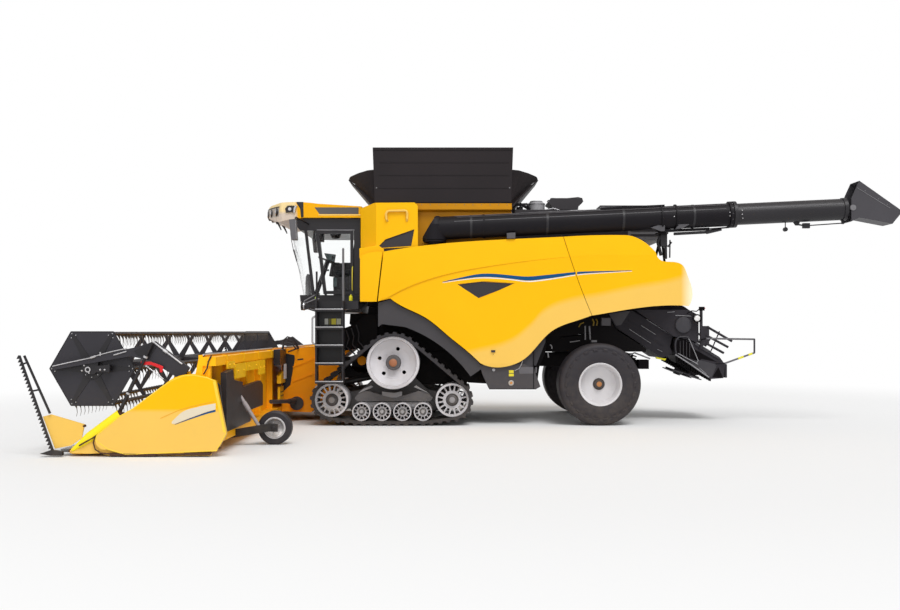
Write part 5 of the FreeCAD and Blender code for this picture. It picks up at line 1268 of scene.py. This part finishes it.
add("header_back_covers", both([
    plate([(4.74, 0.34), (5.84, 0.3), (5.86, 1.1), (5.42, 1.13), (5.35, 0.98), (4.74, 0.92)], 4.165,
        BACK_FACE, "x"),
    plate([(3.9, 0.27), (5.95, 0.27), (5.95, 0.52), (3.9, 0.5)], 4.21, BACK_FACE, "x"),
    plate([(3.05, 0.46), (4.76, 0.46), (4.76, 0.84), (3.25, 0.87), (3.05, 0.8)], 4.175, BACK_FACE, "x"),
    plate([(BACK_FACE, 0.34), (BACK_FACE, 0.98), (4.2, 0.94), (4.17, 0.62), (4.2, 0.38)], 6.04, 6.1),
    rod(6.146, [(4.3, 1.345), (4.345, 1.26), (4.36, 1.17), (4.41, 1.088)], 0.01),
    rod(6.1, [(4.4, 1.35), (4.455, 1.28), (4.47, 1.18), (4.5, 1.09)], 0.007)
]), black_paint, "header", bevel=0.006)
add("header_tie_plates", both(plates), tie_yellow, "header")
add("header_top_edge", both([
    pipe([(4.418, 0.75, 1.348), (4.418, 6.12, 1.348)], 0.012)
]), galvanised, "header")

# Gauge wheels: their own rubber, a pale rim ring and a dark hub; arm plates in black over the weld-on
# arms, and a bright adjusting strut.
GAUGE = (3.695, 0.247)
gauge_finish = zoned("gauge_wheel_finish", RUBBER,
    [(*GAUGE, 0.158, (0.75, 0.73, 0.74)), (*GAUGE, 0.143, (0.34, 0.33, 0.34))], dust=0.06, clean=0.8)
tree = gauge_finish.node_tree
# Painted highlight: the rim's lower part is painted lighter.
lit = sum_of(tree, "MULTIPLY", disc_of(tree, *GAUGE, 0.141),
    ranged(tree, along(tree, "Z"), 0.18, 0.24, 1.0, 0.0))
overlay(gauge_finish, lit, (0.82, 0.8, 0.8))
coat_node(gauge_finish, "left_gauge_wheel", "right_gauge_wheel")
strut_grey = finish("strut_grey", (0.33, 0.29, 0.29), 0.4, dust=0.14, mottle=0.12, clean=0.8)
arms, struts = [], []
for side, word in SIDES:
    rim = [(4.776, 0.152), (4.784, 0.15), (4.784, 0.139), (4.776, 0.137), (4.776, 0.152)]
    add(f"{word}_gauge_rim", [
        lathe([(side * a, r) for a, r in rim], (GAUGE[0], 0, GAUGE[1]), steps=56, ends=False),
        *bolts(circled(GAUGE, 0.075, 5), "y", side * 4.735, side * 0.018, 0.011)
    ], galvanised, f"{word}_gauge_rotor")
    arm = [(3.637, 0.197), (3.637, 0.308), (3.76, 0.321), (4.3, 0.228), (4.43, 0.228), (4.43, 0.127),
        (4.3, 0.112), (3.76, 0.202)]
    arms += [
        plate(arm, side * 4.802, side * 4.858),
        *bolts([(3.7, 0, 0.255)], "y", side * 4.856, side * 0.02, 0.032, 16)
    ]
    struts += [
        rod(side * STRUT_LINE, [(4.2, 0.741), (3.915, 0.286)], 0.0265, 12),
        rod(side * STRUT_LINE, [(4.13, 0.629), (4.06, 0.517)], 0.034, 12)
    ]
add("gauge_arms", arms, black_paint, "header", bevel=0.004)
add("gauge_struts", struts, strut_grey, "header")

# ------------------------------------------------------------------ header reel
# Black bats with clamped spring tines, folded end plates with bolted corners, brackets on the arms,
# a red safety prop, the feed line along the arm's upper edge, stays, and the intake auger's fingers.
REEL = (5.945, 1.16)
BAT_RADIUS = 0.5405
TINE_PITCH = 0.152
FEED_LINE = 6.099
reel_slate = finish("reel_slate", (0.0265, 0.0245, 0.0305), 0.42, dust=0.12, gloss=0.3)
coat_node(reel_slate, "reel_arms", "reel")
coat_node(black_paint, "lift_barrels", "reel_lift_barrels", "side_knives")
steel = finish("bright_steel", (0.42, 0.42, 0.43), 0.3, dust=0.16, metal=1.0)
coat_node(steel, "cutter_bar", "lift_rods", "reel_lift_rods", "intake_auger")
tine_grey = finish("tine_grey", (0.105, 0.088, 0.072), 0.45, dust=0.25, mottle=0.3, clean=2.0)


def tines(bat, places):
    """A clamped, tapering tine at each place along a bat: rings down a line that bows back and returns."""
    drop = np.array([(0.0, 0.028), (0.0, -0.028), (-0.016, -0.08), (-0.022, -0.135), (-0.008, -0.19)])
    half = np.array([0.029, 0.024, 0.006, 0.0045, 0.0025])[:, None]
    turn = np.array([0.0, 2.0944, 4.1888])[None, :]
    ring = np.stack([drop[:, :1] + half * np.cos(turn), 0.55 * half * np.sin(turn), drop[:, 1:] + 0 * turn],
        -1)
    centre = np.array([[bat[0], y, bat[1]] for y in places])
    return net(centre[:, None, None, :] + ring[None])


spokes = np.radians(60 * np.arange(6))
bats = [(REEL[0] + BAT_RADIUS * math.cos(a), REEL[1] + BAT_RADIUS * math.sin(a)) for a in spokes]
spiders = 5.99 * (2 * np.arange(9) / 8 - 1)
places = np.arange(-5.85, 5.86, TINE_PITCH)
places = places[np.abs(places[:, None] - spiders).min(axis=1) > 0.045]
add("reel_tines", [tines(b, places) for b in bats], tine_grey, "reel_rotor")

ribs, studs = [], []
out = 5.986
corner = [(REEL[0] + 0.575 * math.cos(a), REEL[1] + 0.575 * math.sin(a)) for a in spokes]
for i, a in enumerate(spokes):
    p, q = corner[i], corner[(i + 1) % 6]
    ribs += [rod(out, [(p[0], p[1]), (q[0], q[1])], 0.006, 6)]
    ahead, across = np.array([math.cos(a), math.sin(a)]), np.array([-math.sin(a), math.cos(a)])
    spot = np.array(REEL)
    rib = [spot + ahead * r + across * w for r, w in ((0.14, -0.05), (0.52, -0.02), (0.52, 0.02),
        (0.14, 0.05))]
    ribs += [plate(rib, out, out + 0.007)]
    for r, w in ((0.545, 0.0), (0.5, 0.035), (0.5, -0.035)):
        x, z = spot + ahead * r + across * w
        studs += bolts([(x, 0, z)], "y", out, 0.012, 0.01)
ribs += [lathe([(out, 0.15), (out + 0.014, 0.145), (out + 0.014, 0.001)], (REEL[0], 0, REEL[1]), steps=40)]
studs += bolts(circled(REEL, 0.115, 8), "y", out + 0.013, 0.01, 0.009)
ribs = both(ribs)
add("reel_plate_folds", ribs, black_paint, "reel_rotor")
add("reel_plate_bolts", both(studs), steel, "reel_rotor")

# On each arm: the bearing bracket, the drive motor, the feed line and the prop.
y0, y1 = 6.036, 6.056
ring = [(6.062, 0.038), (6.074, 0.037), (6.074, 0.024), (6.062, 0.023), (6.062, 0.038)]
bright = [
    lathe([(a, r) for a, r in ring], (5.978, 0, 1.15), steps=32, ends=False),
    *bolts([(6.06, 0, 1.135), (5.965, 0, 1.105), (6.03, 0, 1.205), (5.72, 0, 1.155), (5.75, 0, 1.165)], "y",
        6.055, 0.012, 0.012),
    *bolts([(5.735, 0, 1.15), (5.795, 0, 1.15)], "y", 6.113, 0.012, 0.013)
]
line = [(6.44, 1.196), (6.2, 1.25), (5.95, 1.303), (5.8, 1.352), (5.62, 1.398), (5.439, 1.436)]
bright += [
    pipe([(a, FEED_LINE, b) for a, b in line], 0.0065),
    rod(6.101, [(5.93, 1.308), (5.86, 1.33)], 0.014, 10),
    rod(FEED_LINE, [(5.8, 1.335), (5.8, 1.385)], 0.01),
    rod(FEED_LINE, [(5.62, 1.345), (5.45, 1.395)], 0.008),
    rod(FEED_LINE, [(5.095, 1.525), (4.9, 1.375), (4.705, 1.225)], 0.011),
    rod(FEED_LINE, [(4.955, 1.415), (4.905, 1.378)], 0.019)
]
prop = [(5.245, 1.262), (5.12, 1.258), (4.99, 1.213), (4.948, 1.196), (4.962, 1.115), (4.992, 1.115),
    (5.0, 1.17), (5.11, 1.214), (5.245, 1.216)]
add("reel_arm_brackets", both([
    plate([(5.84, 1.262), (6.07, 1.222), (6.05, 1.12), (5.99, 1.085), (5.9, 1.085), (5.85, 1.125)], y0, y1),
    plate([(5.67, 1.115), (5.85, 1.115), (5.85, 1.2), (5.67, 1.215)], 6.04, 6.115),
    plate([(5.35, 1.4), (5.12, 1.52), (5.02, 1.5), (5.15, 1.3), (5.3, 1.345)], 6.088, 6.098)
]), black_paint, "reel_carrier", bevel=0.003)
add("reel_arm_lines", both(bright), galvanised, "reel_carrier")
prop_red = finish("prop_red", (0.62, 0.012, 0.016), 0.35, dust=0.12, mottle=0.06)
add("reel_safety_props", both([
    plate(prop, 6.126, 6.134),
    pipe([(5.235, 6.092, 1.24), (5.235, 6.135, 1.24)], 0.014, 10)
]), prop_red, "reel_carrier", bevel=0.002)

# The slanting stays from the divider to the arm knees stay on the header, clear of the arms.
bands = []
y = 6.153
low, high = np.array([5.545, y, 0.545]), np.array([5.087, y, 1.515])
for share in (0.3, 0.8):
    spot = low + share * (high - low)
    bands += [pipe([spot - 0.012 * (high - low), spot + 0.012 * (high - low)], 0.031, 12)]
add("reel_stays", both([
    pipe([low, high], 0.02, 12),
    pipe([low + 0.06 * (high - low), low + 0.6 * (high - low)], 0.027, 12)
]), black_paint, "header")
add("reel_stay_bands", both(bands), galvanised, "header")

# Retracting fingers in the middle of the intake auger.
fingers = []
for i in range(14):
    a = 2.4 * i
    y = -0.65 + 0.1 * i
    near, far = 0.145, 0.262
    fingers += [
        rod(y, [(INTAKE[0] + near * math.cos(a), INTAKE[1] + near * math.sin(a)),
            (INTAKE[0] + far * math.cos(a), INTAKE[1] + far * math.sin(a))], 0.009)
    ]
add("auger_fingers", fingers, steel, "header_auger")

# ------------------------------------------------------------------ feeder coupling
# Between header and feeder house: the coupler gap, drawn as dark sheets of painted shade, with its hose
# block, the side shafts and their guards, the yellow lugs, and the hoses that arch over to the cab side.
# Dark sheets in the gap between header and feeder: painted shade.
gap = [
    plate([(4.24, 1.27), (4.01, 1.22), (3.998, 1.16), (4.083, 0.67), (4.225, 0.537)], 0.739, 0.746),
    plate([(4.125, 1.268), (4.13, 1.292), (3.985, 1.345), (3.98, 1.322)], 0.739, 0.746),
    plate([(3.95, 1.125), (3.952, 1.15), (3.845, 1.16), (3.843, 1.135)], 0.739, 0.746)
]
guard = [(0.784, 0.001), (0.784, 0.128), (0.798, 0.124), (0.802, 0.085), (0.796, 0.06), (0.796, 0.001)]
shaft = [
    lathe([(a, r) for a, r in guard], (3.96, 0, 0.33), steps=40),
    pipe([(4.235, 1.95, 0.44), (4.0, 0.86, 0.375)], 0.036, 14),
    pipe([(4.055, 1.1, 0.389), (4.0, 0.86, 0.375)], [0.046, 0.06], 14)
]
gap += [
    plate([(0.95, 1.06), (1.62, 1.06), (1.62, 1.338), (0.95, 1.338)], 4.13, BACK_FACE, "x"),
    *bolts([(0, a, b) for a in (0.88, 1.0, 1.12) for b in (0.49, 0.56)], "x", 4.2, -0.012, 0.016)
]
add("coupler_block_and_gap_shade", both(gap), black_paint, "header", bevel=0.002)
add("header_drive_shafts", both(shaft), moulded, "header")
add("coupler_lugs", both([
    plate([(0.8, 0.72), (1.28, 0.72), (1.28, 0.86), (1.06, 0.93), (0.8, 0.93)], 4.17, BACK_FACE, "x"),
    plate([(0.8, 0.4), (1.2, 0.4), (1.2, 0.66), (0.8, 0.66)], 4.2, BACK_FACE, "x")
]), tie_yellow, "header", bevel=0.004)
add("coupler_hoses", [pipe([(4.215, out, 1.3), (4.19, out, top - 0.06), (4.12, out - 0.01, top),
    (4.02, out - 0.03, top - 0.03), (3.96, out - 0.05, top - 0.12), (3.93, 0.752, 1.34)],
    0.013) for k, (top, out) in enumerate(((1.5, 0.8), (1.56, 0.87), (1.46, 0.94)))], moulded,
    "header")
add("coupler_pipes", [rod(0.98 + 0.1 * k, [(4.128, 1.07), (4.128, 0.8)], 0.011) for k in range(3)],
    galvanised, "header")

# ------------------------------------------------------------------ residue chute and spreader
# Facets on the chute painted lighter as lit, dark plates of painted shade in its recesses, the hood's round
# covers, ribbed side covers with painted highlights on their ribs, bright stays, light lines on edges and
# slot lips that are painted highlights, work lamps, and the guard bar with its yellow sleeves.
facet_grey = finish("chute_facet", (0.075, 0.07, 0.076), 0.5, dust=0.15, mottle=0.2, clean=1.2)
WORK_LAMP = (-3.42, 0, 1.9)
slate = finish("slate_panel", (0.042, 0.04, 0.047), 0.5, dust=0.15, mottle=0.2, clean=1.2)
stay_silver_and_highlight = finish("stay_silver_and_highlight", (0.3, 0.295, 0.31), 0.35, mottle=0.15, metal=0.3)
recess_black = finish("recess_black", (0.006, 0.005, 0.006), 0.7, dust=0.05, mottle=0.2, gloss=0.05)
# Upper facets of the chute, painted lighter as lit.
add("chute_facets", both([
    plate([(-1.83, 1.985), (-2.23, 2.042), (-2.06, 1.778), (-1.973, 1.765)], 0.65, 0.656)
]), facet_grey)
add("spreader_side_plates", both([
    plate([(-3.47, 1.135), (-3.825, 1.045), (-3.715, 0.8), (-3.3, 1.078)], 0.75, 0.757),
    plate([(-3.425, 1.455), (-3.868, 1.182), (-3.855, 1.142), (-3.403, 1.418)], 0.75, 0.776)
]), slate, bevel=0.002)
# Dark plates of painted shade in the spreader's recesses, and black fillers over the rear hood.
add("spreader_recesses", both([
    plate([(-3.327, 1.373), (-3.819, 1.094), (-3.528, 1.15), (-3.484, 1.105), (-3.283, 1.172)], 0.75,
        0.753),
    plate([(-3.847, 0.994), (-3.93, 0.8), (-3.735, 0.815)], 0.75, 0.756),
    plate([(-2.4, 2.05), (-2.5, 2.15), (-3.15, 2.15), (-3.225, 2.115), (-3.33, 2.04)], 0.3, 0.74),
    box((-2.55, 0.55, 0.965), (-2.36, 0.8, 1.135))
]), recess_black)
# Silver stays, and light lines on edges and slot lips that are painted highlights.
add("chute_bright_lines", both([
    *[rod(0.667, [(a[0], a[1]), (b[0], b[1])], 0.0055, 6) for a, b in (((-2.432, 1.771), (-2.701, 1.601)),
        ((-2.208, 1.704), (-2.611, 1.439)), ((-2.734, 1.327), (-2.824, 1.283)))],
    rod(0.655, [(-2.533, 1.882), (-3.015, 1.578)], 0.006, 6),
    rod(0.755, [(-3.048, 1.955), (-3.339, 1.943)], 0.008, 6),
    rod(0.745, [(-2.9, 2.014), (-3.037, 2.024)], 0.008, 6),
    rod(0.762, [(-3.49, 0.983), (-3.624, 0.871)], 0.006, 6),
    rod(0.779, [(-3.44, 1.452), (-3.7, 1.292)], 0.006, 6),
    rod(0.772, [(-3.041, 1.235), (-3.343, 1.04), (-3.666, 0.812)], 0.013),
    rod(0.768, [(-3.097, 1.251), (-3.465, 1.052)], 0.009),
    rod(0.775, [(-3.289, 1.529), (-3.334, 1.44), (-3.468, 1.117), (-3.423, 1.06)], 0.009),
    rod(0.7, [(-2.213, 1.219), (-2.302, 1.262), (-2.591, 1.153)], 0.014)
]), stay_silver_and_highlight)
add("hood_covers", both([
    lathe([(0.78, 0.151), (0.795, 0.148), (0.803, 0.12), (0.806, 0.001)], (-3.19, 0, 1.78), steps=40),
    pipe([(-3.3, 0.765, 1.541), (-3.236, 0.768, 1.565), (-3.124, 0.768, 1.56), (-3.066, 0.768, 1.518),
        (-3.04, 0.768, 1.418), (-3.048, 0.768, 1.306), (-3.072, 0.768, 1.228)], 0.016, 10)
]), slate, bevel=0.004)

# Ribbed side cover: depth y = 0.760 + 0.010 cos(8 pi s) along its length s.
for side, word in SIDES:
    s, t = np.linspace(0, 1, 65)[:, None], np.linspace(0, 1, 6)[None, :]
    x = -3.075 - 0.235 * s + 0.0 * t
    z = 1.165 + t * (0.365 - 0.06 * np.abs(2 * s - 0.8)) + 0.0 * s
    wave = 0.76 + 0.01 * np.cos(8 * np.pi * s) + 0.0 * t
    front = np.stack([x, side * wave, z], -1)
    rib_back = np.stack([x, 0 * x + side * 0.749, z], -1)[:, ::-1]
    add(f"{word}_ribbed_cover", [net(np.concatenate([front, rib_back], axis=1))], recess_black)
    # Light lines on the ribs are painted highlights.
    ribs = [rod(side * 0.771, [(-3.075 - 0.235 * k, 1.18),
        (-3.075 - 0.235 * k, 1.5 - 0.05 * abs(2 * k - 0.8))], 0.0045, 6) for k in (0.25, 0.5, 0.75, 1.0)]
    add(f"{word}_cover_ribs", ribs, facet_grey)

# Toothed lower edge, lamps on their posts, and the sleeved guard bar.
teeth = []
for k in np.linspace(0, 1, 15):
    x, z = -3.08 - 0.6 * k, 1.19 - 0.4 * k
    teeth += [plate([(x, z + 0.02), (x - 0.036, z + 0.0), (x - 0.03, z - 0.055 - 0.07 * (1 - k)),
        (x - 0.012, z - 0.045 - 0.07 * (1 - k))], side * 0.6, side * 0.74) for side in (-1, 1)]
add("spreader_teeth", teeth, recess_black)
add("rear_lamp_rings", both([
    lathe([(0.884, 0.076), (0.9, 0.078), (0.906, 0.07), (0.896, 0.058), (0.893, 0.001)], WORK_LAMP,
        steps=32),
    box((-3.575, 0.765, 2.045), (-3.48, 0.82, 2.115)),
    rod(0.8, [(-3.256, 1.99), (-3.34, 2.04), (-3.43, 2.03), (-3.49, 2.08)], 0.01)
]), recess_black)
add("rear_lamp_glass", both([
    lathe([(0.894, 0.056), (0.9, 0.05), (0.906, 0.028), (0.908, 0.001)], WORK_LAMP, steps=32)
]), lamp_lens)
add("rear_lamp_dots", both([
    lathe([(-3.575, 0.012), (-3.59, 0.012), (-3.596, 0.001)], (0, 0.79, 2.087), "x", 14)
]), prop_red)
add("post_sleeves", both([
    pipe([(-3.505, 0.79, 1.76), (-3.585, 0.8, 1.73), (-3.6, 0.8, 1.52), (-3.56, 0.8, 1.44)], 0.02, 10)
]), slate)
bar = [(-3.56, 1.0, 1.53), (-4.44, 1.0, 1.516), (-4.44, 1.0, 1.269), (-3.9, 1.0, 1.076)]
add("guard_bar_skin", [pipe(bar, 0.017)], edge_grey)
marks = [rod(1.0, [(a, 1.269 - 0.357 * (a + 4.44)), (b, 1.269 - 0.357 * (b + 4.44))],
    0.0195) for a, b in ((-4.4, -4.33), (-4.24, -4.14))]
add("guard_bar_marks", marks, bottle_yellow)
add("rear_yellow_strip", [
    plate([(-2.7, 1.185), (-2.9, 1.15), (-2.88, 1.12), (-2.72, 1.15)], 0.6, 0.662)
], bottle_yellow)

# ------------------------------------------------------------------ between panel and rear wheel
# Two support struts with a foot block, a small box and coloured pipe ends under the rear side panel.
add("panel_struts", [
    rod(1.1, [(-1.332, 1.76), (-1.336, 1.508)], 0.013),
    rod(1.1, [(-1.41, 1.76), (-1.425, 1.508)], 0.015),
    box((-1.545, 1.02, 1.462), (-1.447, 1.12, 1.5))
], finish("strut_silver", (0.2, 0.195, 0.205), 0.4, mottle=0.2, metal=0.2))
add("side_junction_box", [
    box((-1.784, 1.06, 1.763), (-1.617, 1.19, 1.905))
], facet_grey, bevel=0.006)
add("pipe_ends", [
    pipe([(-1.455, 1.16, 1.885), (-1.48, 1.18, 1.83), (-1.47, 1.18, 1.76)], 0.014),
    pipe([(-1.52, 1.16, 1.885), (-1.545, 1.18, 1.84), (-1.53, 1.18, 1.765)], 0.012),
    pipe([(-1.3, 1.16, 1.82), (-1.24, 1.18, 1.8), (-1.21, 1.16, 1.74)], 0.012)
], finish("pipe_ochre", (0.2, 0.13, 0.01), 0.45, mottle=0.2, clean=1.2))
